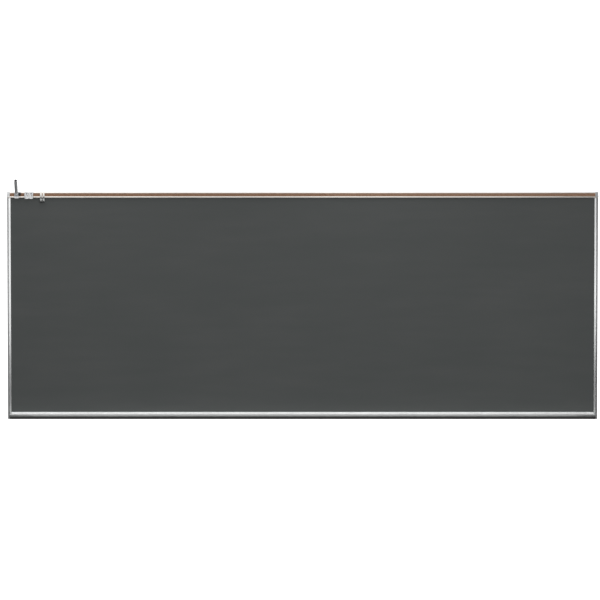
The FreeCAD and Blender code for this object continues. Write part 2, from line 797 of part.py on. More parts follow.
def saddle(body, wide, thick, drop):
    """Bend a strip over the rail's lip: front plate, bridge, and a leg down into the top channel."""
    back = "rail_front + ride_gap"
    leg = "channel_front - ride_gap"
    outline = side_on(
        (back, f"-{drop}"),
        (f"{back} + {thick}", f"-{drop}"),
        (f"{back} + {thick}", f"ride_gap + {thick}"),
        (f"{leg} - {thick}", f"ride_gap + {thick}"),
        (f"{leg} - {thick}", "-ride_leg_drop"),
        (leg, "-ride_leg_drop"),
        (leg, "ride_gap"),
        (back, "ride_gap"),
    )
    made = pad(body, "YZ_Plane", wide, [outline], symmetric=True)
    round_corners(body, made, {thick: [2, 3]})
    return made


def round_bottom_corners(body, wide, front, drop, radius):
    """Round the two lower corners of a front plate."""
    names = []
    for sign in (-1, 1):
        corner = FreeCAD.Vector(sign * value(wide) / 2, -front, -value(drop))
        names += lines_through(body.Tip.Shape, corner, FreeCAD.Vector(0, 1, 0))
    round_edges(body, radius, names)


def leaning_cylinder(name, radius, start, length):
    """A cylinder on the flag tube's leaning axis, start being how far along it from the socket's middle."""
    made = document.addObject("Part::Cylinder", name)
    bind(made, Radius=radius, Height=length)
    made.Placement.Rotation = FreeCAD.Rotation(FreeCAD.Vector(1, 0, 0), value("flag_lean"))
    place(
        made,
        "flag_x",
        f"flag_depth + ({start}) * sin(flag_lean)",
        f"{TOP} - flag_axis_drop + ({start}) * cos(flag_lean)",
    )
    return made


def cross_cylinder(name, radius, start, length):
    """A cylinder along X through the socket's side, on the staff screw's axis."""
    made = document.addObject("Part::Cylinder", name)
    bind(made, Radius=radius, Height=length)
    made.Placement.Rotation = FreeCAD.Rotation(FreeCAD.Vector(0, 1, 0), 90)
    lift = "(socket_above - socket_below) / 2"
    place(
        made,
        f"flag_x + {start}",
        f"flag_depth + {lift} * sin(flag_lean)",
        f"{TOP} - flag_axis_drop + {lift} * cos(flag_lean)",
    )
    return made


def boolean(kind, name, *things):
    """Part::Cut and Part::Common take two shapes, and Part::MultiFuse takes any number."""
    made = document.addObject(kind, name)
    if kind == "Part::MultiFuse":
        made.Shapes = list(things)
    else:
        made.Base, made.Tool = things
    document.recompute()
    return made


def flag_holder():
    """A saddle with a leaning socket, the tube in it, and a screw that grips the flag's staff."""
    form = new_body("flag_bracket", across="flag_x", up=TOP)
    saddle(form, "flag_wide", "flag_thick", "flag_drop")
    front = value("rail_front") + value("ride_gap") + value("flag_thick")
    round_bottom_corners(form, "flag_wide", front, "flag_drop", "3")

    socket = leaning_cylinder(
        "socket", "socket_radius", "-socket_below", "socket_below + socket_above"
    )
    ahead = block(
        "ahead_of_plate",
        across="flag_x - flag_wide",
        depth="rail_front + ride_gap + flag_thick / 2",
        up=f"{TOP} - 2 * flag_drop",
        wide="2 * flag_wide",
        deep="tube_long",
        high="4 * flag_drop",
    )
    socket = boolean("Part::Common", "trimmed_socket", socket, ahead)
    whole = boolean("Part::MultiFuse", "bracket_with_socket", form, socket)
    seat = leaning_cylinder("seat", "tube_radius", "socket_floor - socket_below", "tube_long")
    whole = boolean("Part::Cut", "bored_bracket", whole, seat)
    thread = cross_cylinder("bracket_thread", "thumb_screw + pivot_play", "0", "flag_wide")
    node(boolean("Part::Cut", "flag_bracket_cut", whole, thread), "flag_bracket")

    outer = leaning_cylinder("tube_wall", "tube_radius", "socket_floor - socket_below", "tube_long")
    inner = leaning_cylinder("tube_hollow", "tube_bore", "-socket_below", "tube_long + 10")
    tube = boolean("Part::Cut", "plain_tube", outer, inner)
    thread = cross_cylinder("tube_thread", "thumb_screw + pivot_play", "0", "flag_wide")
    node(boolean("Part::Cut", "flag_tube_cut", tube, thread), "flag_tube")

    shank_long = "thumb_start - tube_bore + thumb_grip"
    shank = cross_cylinder("staff_screw_shank", "thumb_screw", "tube_bore", shank_long)
    node(shank, "staff_screw")
    knob = cross_cylinder("knob_disc", "thumb_radius", "thumb_start", "thumb_long")
    rounded = document.addObject("Part::Fillet", "rounded_knob")
    rounded.Base = knob
    document.recompute()
    radius = value("thumb_round")
    rounded.Edges = [(number, radius, radius) for number in knob_rims(knob.Shape)]
    hole = cross_cylinder("knob_hole", "thumb_screw", "thumb_start - 1", "thumb_grip + 1")
    node(boolean("Part::Cut", "staff_knob_cut", rounded, hole), "staff_knob")


def knob_rims(shape):
    """The numbers of a disc's two round edges."""
    return [
        number
        for number, edge in enumerate(shape.Edges, start=1)
        if isinstance(edge.Curve, Part.Circle)
    ]


flag_holder()


# ---------------------------------------------------------------- map roller brackets


def roller_bracket(label, across, sign, open_top):
    """A saddle with an arm that takes one end of a map roller, in a round hole or an open slot."""
    body = new_body(label, across=across, up=TOP)
    saddle(body, "roller_wide", "roller_thick", "roller_drop")
    front = value("rail_front") + value("ride_gap") + value("roller_thick")
    round_bottom_corners(body, "roller_wide", front, "roller_drop", "5")

    plate_front = "rail_front + ride_gap + roller_thick / 2"
    low, high = "roller_hole_depth - roller_hole", "roller_hole_depth + roller_hole"
    slot = [
        (high, "-arm_top_drop"),
        (high, "-roller_hole_drop"),
        (low, "-roller_hole_drop"),
        (low, "-arm_top_drop"),
    ]
    outline = side_on(
        (plate_front, "-arm_top_drop - roller_wide"),
        ("arm_depth", "-roller_drop + 3"),
        ("arm_depth", "-arm_top_drop"),
        *(slot if open_top else []),
        (plate_front, "-arm_top_drop"),
    )
    hole = ("-roller_hole_depth", "-roller_hole_drop", "roller_hole")
    start = "roller_wide / 2 - roller_thick" if sign > 0 else "-roller_wide / 2"
    circles = [] if open_top else [hole]
    made = pad(body, "YZ_Plane", "roller_thick", [outline], circles, start=start)
    round_corners(body, made, {"5": [1], "3": [2], **({"3.6": [4, 5]} if open_top else {})})
    pocket(
        body,
        "XZ_Plane",
        "arm_depth",
        circles=[
            ("plate_hole_side", "-plate_hole_drop", "plate_hole"),
            ("0", "-clamp_drop", "clamp_shank + pivot_play"),
        ],
        start="channel_front + 3",
    )
    node(body, label)


def clamp_screw(label, across):
    """A slotted screw through the bracket's front plate, which grips the rail."""
    body = new_body(label, across=across, up=TOP)
    plate_front = "rail_front + ride_gap + roller_thick"
    tip = "rail_front + clamp_tip_gap"
    centre = ("0", "-clamp_drop")
    pad(body, "XZ_Plane", f"{plate_front} - ({tip})", circles=[(*centre, "clamp_shank")], start=tip)
    face = f"{plate_front} + slack / 2"
    pad(body, "XZ_Plane", "clamp_head_high", circles=[(*centre, "clamp_head")], start=face)
    pad(body, "XZ_Plane", "slack", circles=[(*centre, "clamp_shank")], start=plate_front)
    outer = body.Tip.Shape.BoundBox.YMin
    round_edges(body, "0.8", rims(body.Tip.Shape, outer, "y"))
    slot = [
        ("-clamp_head - 1", "-clamp_drop - slot_half"),
        ("clamp_head + 1", "-clamp_drop - slot_half"),
        ("clamp_head + 1", "-clamp_drop + slot_half"),
        ("-clamp_head - 1", "-clamp_drop + slot_half"),
    ]
    floor = f"{face} + clamp_head_high - slot_deep"
    pocket(body, "XZ_Plane", "clamp_head_high", [slot], start=floor)
    node(body, label)


roller_bracket("roller_bracket_left", "roller_left_x", -1, open_top=False)
roller_bracket("roller_bracket_right", "roller_right_x", 1, open_top=True)
clamp_screw("clamp_screw_left", "roller_left_x")
clamp_screw("clamp_screw_right", "roller_right_x")


# ---------------------------------------------------------------- map clips

HOOK_FRONT = "(rail_front + ride_gap + hook_thick)"
JAW_FRONT = f"({HOOK_FRONT} + jaw_thick)"
PIVOT = ("-pivot_depth", "-pivot_drop")
FRONT_JAW_WIDE = "(hook_wide - 2 * ear_thick - 2 * ear_gap)"


def rear_jaw(label, across):
    """The fixed jaw: a neck riveted to the hook, a wide blade, and two ears for the pivot pin."""
    body = new_body(label, across=across, up=TOP)
    blade = [
        ("-neck_wide / 2", "-neck_drop"),
        ("neck_wide / 2", "-neck_drop"),
        ("neck_wide / 2", "-shoulder_drop"),
        ("hook_wide / 2", "-shoulder_drop"),
        ("hook_wide / 2", "-jaw_drop"),
        ("-hook_wide / 2", "-jaw_drop"),
        ("-hook_wide / 2", "-shoulder_drop"),
        ("-neck_wide / 2", "-shoulder_drop"),
    ]
    hole = ("0", "-rivet_drop", "rivet_shank")
    pad(body, "XZ_Plane", "jaw_thick", [blade], [hole], start=HOOK_FRONT)
    ear = side_on(
        (HOOK_FRONT, "-pivot_drop - lug_radius"),
        ("pivot_depth + lug_radius", "-pivot_drop - lug_radius"),
        ("pivot_depth + lug_radius", "-pivot_drop + lug_radius"),
        (HOOK_FRONT, "-pivot_drop + lug_radius"),
    )
    for start in ("-hook_wide / 2", "hook_wide / 2 - ear_thick"):
        made = pad(body, "YZ_Plane", "ear_thick", [ear], [(*PIVOT, "pin_radius")], start=start)
        round_corners(body, made, {"2.2": [1, 2]})
    node(body, label)


def front_jaw(label, across):
    """The moving jaw: thumb tab above the pivot, blade below it, and two lugs on the pin."""
    body = new_body(label, across=across, up=TOP)
    strip_back = "pivot_depth + lug_radius - 0.2"
    strip_front = f"{strip_back} + jaw_thick"
    closed = f"{JAW_FRONT} + 2 * tip_gap + jaw_thick"
    outline = side_on(
        ("tab_depth", "-tab_drop - 0.7 * jaw_thick"),
        (strip_front, "-knee_drop"),
        (f"{strip_front} - 0.2 * jaw_thick", "-heel_drop - 0.2 * jaw_thick"),
        (f"{closed} + jaw_thick", "-jaw_drop"),
        (closed, "-jaw_drop"),
        (f"{strip_back} - 0.3 * jaw_thick", "-heel_drop"),
        (strip_back, "-knee_drop - 0.3 * jaw_thick"),
        ("tab_depth - 0.9 * jaw_thick", "-tab_drop"),
    )
    made = pad(body, "YZ_Plane", FRONT_JAW_WIDE, [outline], symmetric=True)
    round_corners(body, made, {"2": [2], "1.2": [5]})
    lug = [(*PIVOT, "lug_radius"), (*PIVOT, "pin_radius + pivot_play")]
    for start in (f"-{FRONT_JAW_WIDE} / 2", f"{FRONT_JAW_WIDE} / 2 - lug_thick"):
        pad(body, "YZ_Plane", "lug_thick", circles=lug, start=start)
    node(body, label)


def vinyl_tip(label, across, back):
    """A soft black tip on the end of a jaw."""
    body = new_body(label, across=across, up=TOP)
    outline = side_on(
        (back, "-jaw_drop"),
        (back, "-tip_drop"),
        (f"{back} + tip_thick", "-tip_drop"),
        (f"{back} + tip_thick", "-jaw_drop"),
    )
    made = pad(body, "YZ_Plane", "hook_wide", [outline], symmetric=True)
    round_corners(body, made, {"0.8": [1, 2]})
    node(body, label)


def pivot_pin(label, across):
    """The headed pin that the front jaw turns on."""
    body = new_body(label, across=across, up=TOP)
    pad(body, "YZ_Plane", "hook_wide", circles=[(*PIVOT, "pin_radius")], symmetric=True)
    for start in ("hook_wide / 2", "-hook_wide / 2 - pin_head_high"):
        pad(body, "YZ_Plane", "pin_head_high", circles=[(*PIVOT, "pin_head")], start=start)
    node(body, label)


def jaw_spring(label, across):
    """The torsion spring's coil on the pin, between the front jaw's lugs."""
    body = new_body(label, across=across, up=TOP)
    coil = [(*PIVOT, "coil_radius"), (*PIVOT, "coil_bore")]
    long = f"{FRONT_JAW_WIDE} - 2 * lug_thick - 2 * ear_gap"
    pad(body, "YZ_Plane", long, circles=coil, symmetric=True)
    node(body, label)


def hook_rivet(label, across):
    """The rivet that joins the hook and the rear jaw."""
    body = new_body(label, across=across, up=TOP)
    centre = ("0", "-rivet_drop")
    back = "rail_front + ride_gap"
    shank = "hook_thick + jaw_thick"
    pad(body, "XZ_Plane", shank, circles=[(*centre, "rivet_shank")], start=back)
    pad(body, "XZ_Plane", "rivet_head_high", circles=[(*centre, "rivet_head")], start=JAW_FRONT)
    round_edges(body, "rivet_round", rims(body.Tip.Shape, body.Tip.Shape.BoundBox.YMin, "y"))
    node(body, label)


def map_clip(side, across):
    """A hook over the rail with a sprung clip below it, which holds the top of a map or a chart."""
    body = new_body(f"map_hook_{side}", across=across, up=TOP)
    saddle(body, "hook_wide", "hook_thick", "hook_drop")
    pocket(
        body,
        "XZ_Plane",
        "10",
        circles=[("0", "-rivet_drop", "rivet_shank")],
        start="rail_front - 2",
    )
    node(body, f"map_hook_{side}")
    hook_rivet(f"hook_rivet_{side}", across)
    rear_jaw(f"rear_jaw_{side}", across)
    front_jaw(f"front_jaw_{side}", across)
    pivot_pin(f"jaw_pin_{side}", across)
    jaw_spring(f"jaw_spring_{side}", across)
    meeting = f"({JAW_FRONT} + tip_gap * 2)"
    vinyl_tip(f"rear_tip_{side}", across, f"({meeting} - tip_thick)")
    vinyl_tip(f"front_tip_{side}", across, f"({meeting} + tip_gap)")


map_clip("left", "hook_left_x")
map_clip("right", "hook_right_x")


# ---------------------------------------------------------------- check and write


def check(thing):
    """Stop at a feature that failed, or at a shape that is missing or broken."""
    if {"Invalid", "Error"} & set(thing.State):
        raise ValueError(f"{thing.Name} ({thing.Label}) failed: {thing.State}")


document.recompute()
for thing in document.Objects:
    check(thing)
for thing in NODES:
    if thing.Shape.isNull() or not thing.Shape.isValid():
        raise ValueError(f"{thing.Label} has no valid shape")

os.makedirs("parts", exist_ok=True)
for thing in NODES:
    thing.Shape.exportStep(f"parts/{thing.Label}.step")
    solids, volume = len(thing.Shape.Solids), thing.Shape.Volume / 1000
    print(f"{thing.Label:24} {solids:3} solids {volume:10.2f} cm3")
print(len(NODES), "sub-parts")
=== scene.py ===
# %% [markdown]
# # A wall chalkboard with a map rail and a chalk tray
#
# The board is a factory-made thing of few materials: an enamelled steel sheet on fibreboard,
# aluminium extrusions round it, a cork strip in the top rail, and some small hardware that
# slides along that rail. The engineering model already has every part at its true size, so
# this lesson loads it as a fixed frame and gives it surfaces, small hardware and light.

# %% Load the frame
import json
import math

import bmesh
import bpy
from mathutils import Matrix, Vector

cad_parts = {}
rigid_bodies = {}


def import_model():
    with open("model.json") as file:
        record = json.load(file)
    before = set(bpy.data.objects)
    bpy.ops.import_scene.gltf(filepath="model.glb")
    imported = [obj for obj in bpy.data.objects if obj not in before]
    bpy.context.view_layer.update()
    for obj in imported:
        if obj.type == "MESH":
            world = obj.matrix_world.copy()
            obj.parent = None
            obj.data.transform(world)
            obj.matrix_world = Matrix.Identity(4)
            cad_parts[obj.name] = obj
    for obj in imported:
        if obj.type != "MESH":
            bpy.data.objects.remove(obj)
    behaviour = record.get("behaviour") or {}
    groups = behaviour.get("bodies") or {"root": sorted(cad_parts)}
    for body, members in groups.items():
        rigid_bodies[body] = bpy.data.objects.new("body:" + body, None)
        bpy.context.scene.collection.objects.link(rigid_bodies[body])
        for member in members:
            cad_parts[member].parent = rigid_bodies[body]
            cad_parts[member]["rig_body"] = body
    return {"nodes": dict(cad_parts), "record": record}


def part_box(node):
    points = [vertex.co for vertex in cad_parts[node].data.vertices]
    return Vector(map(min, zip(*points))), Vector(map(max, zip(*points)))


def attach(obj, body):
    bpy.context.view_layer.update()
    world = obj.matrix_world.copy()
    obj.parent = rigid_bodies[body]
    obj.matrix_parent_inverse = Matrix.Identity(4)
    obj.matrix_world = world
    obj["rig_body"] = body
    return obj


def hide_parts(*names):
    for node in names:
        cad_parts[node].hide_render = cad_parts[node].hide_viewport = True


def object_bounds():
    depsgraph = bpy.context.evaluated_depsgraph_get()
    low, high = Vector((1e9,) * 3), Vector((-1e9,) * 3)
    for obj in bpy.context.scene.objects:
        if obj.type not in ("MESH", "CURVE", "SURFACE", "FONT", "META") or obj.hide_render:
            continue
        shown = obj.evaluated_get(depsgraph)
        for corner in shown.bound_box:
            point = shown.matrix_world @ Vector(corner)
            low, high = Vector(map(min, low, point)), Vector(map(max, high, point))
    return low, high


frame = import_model()
cad_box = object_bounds()
MM = 0.001
print("board:", [round(high - low, 4) for low, high in zip(*cad_box)], "m")

# %% [markdown]
# ## Helpers for node trees
#
# Shader trees and geometry trees are the same kind of thing in Blender: nodes with sockets and
# links between them. One small function that adds a node and fills its inputs, by a plain value
# or by another node's output, keeps every finish below short enough to read in one look.


# %% Add a node and fill its inputs
def wire(tree, kind, inputs=None, **settings):
    """Add one node. An input given as a socket is linked, and any other value is set."""
    node = tree.nodes.new(kind)
    for name, value in settings.items():
        setattr(node, name, value)
    for key, value in (inputs or {}).items():
        if isinstance(value, bpy.types.NodeSocket):
            tree.links.new(value, node.inputs[key])
        else:
            node.inputs[key].default_value = value
    return node


def maths(tree, operation, first, second=0.0):
    """One sum, the same in a shader tree and a geometry tree."""
    return wire(tree, "ShaderNodeMath", {0: first, 1: second}, operation=operation).outputs[0]


def times(tree, first, *others):
    """The product of two or more values."""
    for other in others:
        first = maths(tree, "MULTIPLY", first, other)
    return first


def split(tree, vector):
    """The X, Y and Z of a vector."""
    return wire(tree, "ShaderNodeSeparateXYZ", {0: vector}).outputs


def joined(tree, x=0.0, y=0.0, z=0.0):
    """A vector from its X, Y and Z."""
    return wire(tree, "ShaderNodeCombineXYZ", {0: x, 1: y, 2: z}).outputs[0]


# %% [markdown]
# ## Helpers for finishes
#
# No real surface is one flat colour. Each finish starts from a colour and a roughness, and then
# patterns vary both a little and raise a fine relief. The patterns read Object coordinates,
# which are metres here, so a scale of 500 means a grain about two millimetres wide. Stretching
# the coordinates turns round grain into the long die lines of an extrusion.


# %% Patterns and how they are used
def laid(tree, stretch):
    """The object's own metres, stretched along each axis."""
    place = wire(tree, "ShaderNodeTexCoord").outputs["Object"]
    return wire(tree, "ShaderNodeMapping", {"Vector": place, "Scale": stretch}).outputs[0]


def grain(tree, scale, stretch=(1, 1, 1), detail=3.0):
    """Soft noise from 0 to 1."""
    sockets = {"Vector": laid(tree, stretch), "Scale": scale, "Detail": detail}
    return wire(tree, "ShaderNodeTexNoise", sockets).outputs[0]


def cells(tree, scale, feature="F1", output="Distance", stretch=(1, 1, 1)):
    """A pattern of separate cells, for granules, spangle and creases."""
    sockets = {"Vector": laid(tree, stretch), "Scale": scale}
    return wire(tree, "ShaderNodeTexVoronoi", sockets, feature=feature).outputs[output]


def between(tree, value, low, high, start=0.3, end=0.7):
    """Carry a pattern's start..end on to low..high, and hold it there outside."""
    sockets = {"Value": value, 1: start, 2: end, 3: low, 4: high}
    return wire(tree, "ShaderNodeMapRange", sockets).outputs[0]


def mixed(tree, factor, first, second):
    """Mix two colours, given as three numbers or as a socket."""
    sockets = {0: factor}
    for index, colour in ((6, first), (7, second)):
        linked = isinstance(colour, bpy.types.NodeSocket)
        sockets[index] = colour if linked else (*colour, 1.0)
    return wire(tree, "ShaderNodeMix", sockets, data_type="RGBA").outputs[2]


# %% Start a finish, and close it
def begin(name, **fixed):
    """A new material. What is the same all over is set on the shader's own sockets."""
    material = bpy.data.materials.new(name)
    material.use_nodes = True
    tree = material.node_tree
    shader = tree.nodes["Principled BSDF"]
    for socket, value in fixed.items():
        shader.inputs[socket.replace("_", " ")].default_value = value
    return material, tree, shader


def close(tree, shader, colour, roughness, height, depth, strength=1.0):
    """Link the colour, the roughness and a relief of the given depth in metres."""
    tree.links.new(colour, shader.inputs["Base Color"])
    tree.links.new(roughness, shader.inputs["Roughness"])
    sockets = {"Height": height, "Strength": strength, "Distance": depth}
    bump = wire(tree, "ShaderNodeBump", sockets)
    tree.links.new(bump.outputs[0], shader.inputs["Normal"])


# %% [markdown]
# ## The writing surface
#
# Porcelain enamel for chalk is fired with a fine tooth that wears the chalk down. It is dull, and
# a board in use is never evenly dark: old chalk stays in the tooth as a faint haze that
# follows the sweeps of the eraser. Two long soft noises make the haze, one fine noise the
# tooth. The haze is kept very faint, because a wiped board looks even from across a room.

# %% Slate enamel
SLATE = (0.0640, 0.0690, 0.0680)
CHALKED_SLATE = (0.0735, 0.0775, 0.0765)
HAZE_STARTS, HAZE_FULL = 0.12, 0.42


def slate_enamel():
    material, tree, shader = begin("slate_enamel", Specular_IOR_Level=0.16)
    sweeps = grain(tree, 1.6, (1.0, 1.0, 3.2), 5.0)
    strokes = grain(tree, 9.0, (0.35, 1.0, 2.4), 4.0)
    tooth = grain(tree, 2600.0, detail=2.0)
    haze = maths(tree, "MULTIPLY", sweeps, strokes)
    chalked = between(tree, haze, 0.0, 1.0, HAZE_STARTS, HAZE_FULL)
    colour = mixed(tree, chalked, SLATE, CHALKED_SLATE)
    roughness = between(tree, haze, 0.74, 0.88, HAZE_STARTS, HAZE_FULL)
    close(tree, shader, colour, roughness, tooth, 0.05 * MM, 0.35)
    return material


SLATE_ENAMEL = slate_enamel()
print("finish:", SLATE_ENAMEL.name)

# %% [markdown]
# ## The aluminium extrusions
#
# The trims, rail and tray are pushed through a die and then satin anodised. That leaves fine lines
# along their length, so the shine is broken across the lines and smooth along them. The same
# recipe serves all of them. Only the direction of the stretch changes: along X for the rail
# and the tray, along Z for the side trims. Handling dulls the metal in patches, and a few short
# scratches catch the light. The rail is given a slightly warmer tone than the rest, and chalk
# dust settles on whatever faces up in the tray.

# %% Satin aluminium, along the extrusion
BRIGHT_ALUMINIUM = (0.86, 0.868, 0.866)
DULL_ALUMINIUM = (0.77, 0.78, 0.78)
WARM_BRIGHT = (0.835, 0.795, 0.750)
WARM_DULL = (0.740, 0.700, 0.655)
CHALK_DUST = (0.80, 0.80, 0.77)
LINES_ALONG, LINES_ACROSS = 3.0, 900.0
SCRATCH_ALONG, SCRATCH_ACROSS = 60.0, 1400.0
LINE_SHADE, SCRATCH_SHINE, DUST_DULLING = 0.28, 0.12, 0.4


def satin_aluminium(name, run, bright=BRIGHT_ALUMINIUM, dull=DULL_ALUMINIUM, dusty=False):
    """Satin aluminium whose die lines run along axis 0 or 2."""
    material, tree, shader = begin(name, Metallic=1.0)
    lines_scale = tuple(LINES_ALONG if axis == run else LINES_ACROSS for axis in range(3))
    scratch_scale = tuple(SCRATCH_ALONG if axis == run else SCRATCH_ACROSS for axis in range(3))
    lines = grain(tree, 1.0, lines_scale, 4.0)
    scratches = between(tree, grain(tree, 1.0, scratch_scale, 1.0), 0.0, 1.0, 0.70, 0.78)
    handling = grain(tree, 7.0, detail=4.0)
    metal = mixed(tree, between(tree, handling, 0.0, 1.0), bright, dull)
    colour = mixed(tree, times(tree, lines, LINE_SHADE), metal, dull)
    roughness = between(tree, handling, 0.33, 0.42)
    roughness = maths(tree, "SUBTRACT", roughness, times(tree, scratches, SCRATCH_SHINE))
    if dusty:
        normal = wire(tree, "ShaderNodeNewGeometry").outputs["Normal"]
        level = between(tree, split(tree, normal)[2], 0.0, 1.0, 0.75, 0.98)
        drifts = between(tree, grain(tree, 26.0, (0.25, 1.0, 1.0), 6.0), 0.05, 0.75, 0.42, 0.68)
        settled = times(tree, level, drifts)
        colour = mixed(tree, settled, colour, CHALK_DUST)
        roughness = maths(tree, "ADD", roughness, times(tree, settled, DUST_DULLING))
        bare = maths(tree, "SUBTRACT", 1.0, settled)
        tree.links.new(bare, shader.inputs["Metallic"])
    close(tree, shader, colour, roughness, maths(tree, "ADD", lines, scratches), 0.02 * MM, 0.5)
    return material


TRIM_ALUMINIUM = satin_aluminium("satin_aluminium_upright", 2)
RAIL_ALUMINIUM = satin_aluminium("satin_aluminium_long", 0, WARM_BRIGHT, WARM_DULL)
TRAY_ALUMINIUM = satin_aluminium("satin_aluminium_dusty", 0, dusty=True)
print("finishes:", TRIM_ALUMINIUM.name, RAIL_ALUMINIUM.name, TRAY_ALUMINIUM.name)

# %% [markdown]
# ## Cork
#
# Map rail cork is ground, glued and sliced, so it shows granules one to three millimetres across
# with dark bark specks between them. Two rolls rarely match, and the two strips of this rail
# meet in slightly different shades. A cell pattern gives each granule its own tone. The
# same cells are used again further on to raise the granules in the strip's mesh.

# %% Cork in two shades
GRANULES, BARK_COVER = 430.0, 0.8


def cork(name, pale, brown, bark):
    """Cork granules from pale to brown, with specks of bark."""
    material, tree, shader = begin(name, Specular_IOR_Level=0.1)
    tone = split(tree, cells(tree, GRANULES, output="Color"))[0]
    crumbs = grain(tree, 1500.0, detail=4.0)
    specks = between(tree, grain(tree, 520.0, (1.0, 1.0, 1.7), 2.0), 0.0, 1.0, 0.62, 0.68)
    colour = mixed(tree, tone, pale, brown)
    colour = mixed(tree, times(tree, specks, BARK_COVER), colour, bark)
    close(tree, shader, colour, between(tree, crumbs, 0.78, 0.95), crumbs, 0.25 * MM, 0.7)
    return material


CORK_LEFT = cork(
    "cork_left", (0.290, 0.172, 0.112), (0.185, 0.104, 0.064), (0.060, 0.030, 0.018)
)
CORK_RIGHT = cork(
    "cork_right", (0.308, 0.190, 0.128), (0.196, 0.116, 0.075), (0.064, 0.034, 0.021)
)
print("finishes:", CORK_LEFT.name, CORK_RIGHT.name)

# %% [markdown]
# ## The back of the panel
#
# The core is a soft fibreboard with short fibres pressed flat, seen only at its edges. The
# backer is thin foil that keeps damp out. Foil on fibreboard is never flat: it takes on the
# board's lumps and small creases from handling, and the creases are what make it read as foil.


# %% Fibreboard and foil
def fibreboard():
    material, tree, shader = begin("fibreboard", Specular_IOR_Level=0.2)
    fibres = grain(tree, 500.0, (1.0, 1.0, 3.0), 6.0)
    colour = mixed(tree, between(tree, fibres, 0.0, 1.0), (0.32, 0.215, 0.13), (0.20, 0.13, 0.078))
    close(tree, shader, colour, between(tree, fibres, 0.85, 0.98), fibres, 0.4 * MM, 0.8)
    return material


CREASE_HEIGHT = 0.14


def foil_backer():
    material, tree, shader = begin("foil_backer", Metallic=1.0)
    lumps = grain(tree, 14.0, detail=6.0)
    creases = cells(tree, 11.0, feature="DISTANCE_TO_EDGE", stretch=(1.0, 1.0, 1.7))
    kept = between(tree, grain(tree, 6.0, (1.0, 1.0, 2.0), 4.0), 0.0, 1.0, 0.42, 0.62)
    creased = times(tree, between(tree, creases, 1.0, 0.0, 0.0, 0.04), kept)
    colour = mixed(tree, between(tree, lumps, 0.0, 1.0), (0.66, 0.66, 0.67), (0.54, 0.545, 0.56))
    roughness = between(tree, grain(tree, 5.0, detail=4.0), 0.30, 0.46)
    height = maths(tree, "ADD", lumps, times(tree, creased, CREASE_HEIGHT))
    close(tree, shader, colour, roughness, height, 1.4 * MM, 0.35)
    return material


FIBREBOARD, FOIL = fibreboard(), foil_backer()
print("finishes:", FIBREBOARD.name, FOIL.name)

# %% [markdown]
# ## Castings, zinc, chrome and nickel
#
# The end caps, end stops and brackets are tumbled smooth, so their grain is round and fine. The
# flag bracket is a duller zinc casting, and the tube in it is satin chrome outside, with its bore
# in a near black painted shade that stands for the shadow within. The map hooks are nickel plated,
# their jaws are bare spring steel darkened further as painted shade under the hook plate, and the
# clamp screws are blued. The hangers are cut from galvanised sheet with its patchwork of zinc
# crystals. What sets the metals apart is the size of their pattern, their tone and how rough
# they are, so one recipe and a table make them all. The chrome and the cast zinc are below
# one in the metallic column. That is for the look: a real metal is fully metallic.


# %% Metals for the hardware
PATCH_SHARE = 0.12  # the scale of the wear patches, as a share of the grain's


def plain_metal(name, light, dark, smooth, rough, scale, depth, metallic):
    """A metal with round grain: a colour range, a roughness range, and a relief in metres."""
    material, tree, shader = begin(name, Metallic=metallic)
    patches, fine = grain(tree, scale * PATCH_SHARE, detail=4.0), grain(tree, scale, detail=3.0)
    wear = times(tree, maths(tree, "ADD", patches, fine), 0.5)
    colour = mixed(tree, between(tree, wear, 0.0, 1.0), light, dark)
    close(tree, shader, colour, between(tree, wear, smooth, rough), fine, depth, 0.5)
    return material


def galvanised_steel():
    """Zinc coated sheet: flat crystals of different greys, with rolling streaks."""
    material, tree, shader = begin("galvanised_steel", Metallic=1.0)
    tone = split(tree, cells(tree, 190.0, output="Color"))[0]
    streaks = grain(tree, 700.0, (1.0, 1.0, 0.15), 3.0)
    colour = mixed(tree, tone, (0.66, 0.675, 0.69), (0.46, 0.475, 0.49))
    colour = mixed(tree, between(tree, grain(tree, 60.0), 0.0, 0.35), colour, (0.72, 0.72, 0.71))
    roughness = between(tree, tone, 0.36, 0.56, 0.0, 1.0)
    close(tree, shader, colour, roughness, streaks, 0.02 * MM, 0.5)
    return material


# Light tone, dark tone, smooth and rough, grain scale, relief, and how metallic.
METALS = {
    "grey_casting": ((0.70, 0.71, 0.71), (0.58, 0.59, 0.60), 0.42, 0.58, 900.0, 0.05 * MM, 1.0),
    "bright_steel": ((0.78, 0.78, 0.76), (0.62, 0.62, 0.61), 0.24, 0.40, 1600.0, 0.01 * MM, 1.0),
    "satin_chrome": ((0.80, 0.80, 0.81), (0.66, 0.67, 0.68), 0.30, 0.42, 1300.0, 0.01 * MM, 0.74),
    "cast_zinc": ((0.76, 0.77, 0.77), (0.62, 0.63, 0.64), 0.42, 0.58, 900.0, 0.05 * MM, 0.5),
    "nickel": ((0.80, 0.775, 0.73), (0.66, 0.635, 0.59), 0.20, 0.36, 1500.0, 0.01 * MM, 1.0),
    "blued_steel": ((0.20, 0.20, 0.215), (0.12, 0.12, 0.13), 0.38, 0.55, 1200.0, 0.01 * MM, 1.0),
    # Partly painted shade: the jaws' bare steel is darkened further for the shade under the hook
    # plate.
    "spring_steel_and_painted_shade": ((0.55, 0.56, 0.55), (0.42, 0.43, 0.425), 0.34, 0.50, 1500.0, 0.01 * MM, 1.0),
    # Painted shade: a near black finish for the shadow inside the flag tube's bore.
    "bore_painted_shade": ((0.09, 0.09, 0.09), (0.045, 0.045, 0.045), 0.6, 0.8, 900.0, 0.03 * MM, 1.0),
}
METAL = {name: plain_metal(name, *recipe) for name, recipe in METALS.items()}
GALVANISED = galvanised_steel()
print("finishes:", ", ".join(METAL), GALVANISED.name)

# %% [markdown]
# ## Plastic and vinyl
#
# The knob is moulded with a fine spark texture and has dust in it. The jaw tips are dipped in
# vinyl, which is blacker, softer in its shine, and scuffed grey where paper has been pulled
# through.


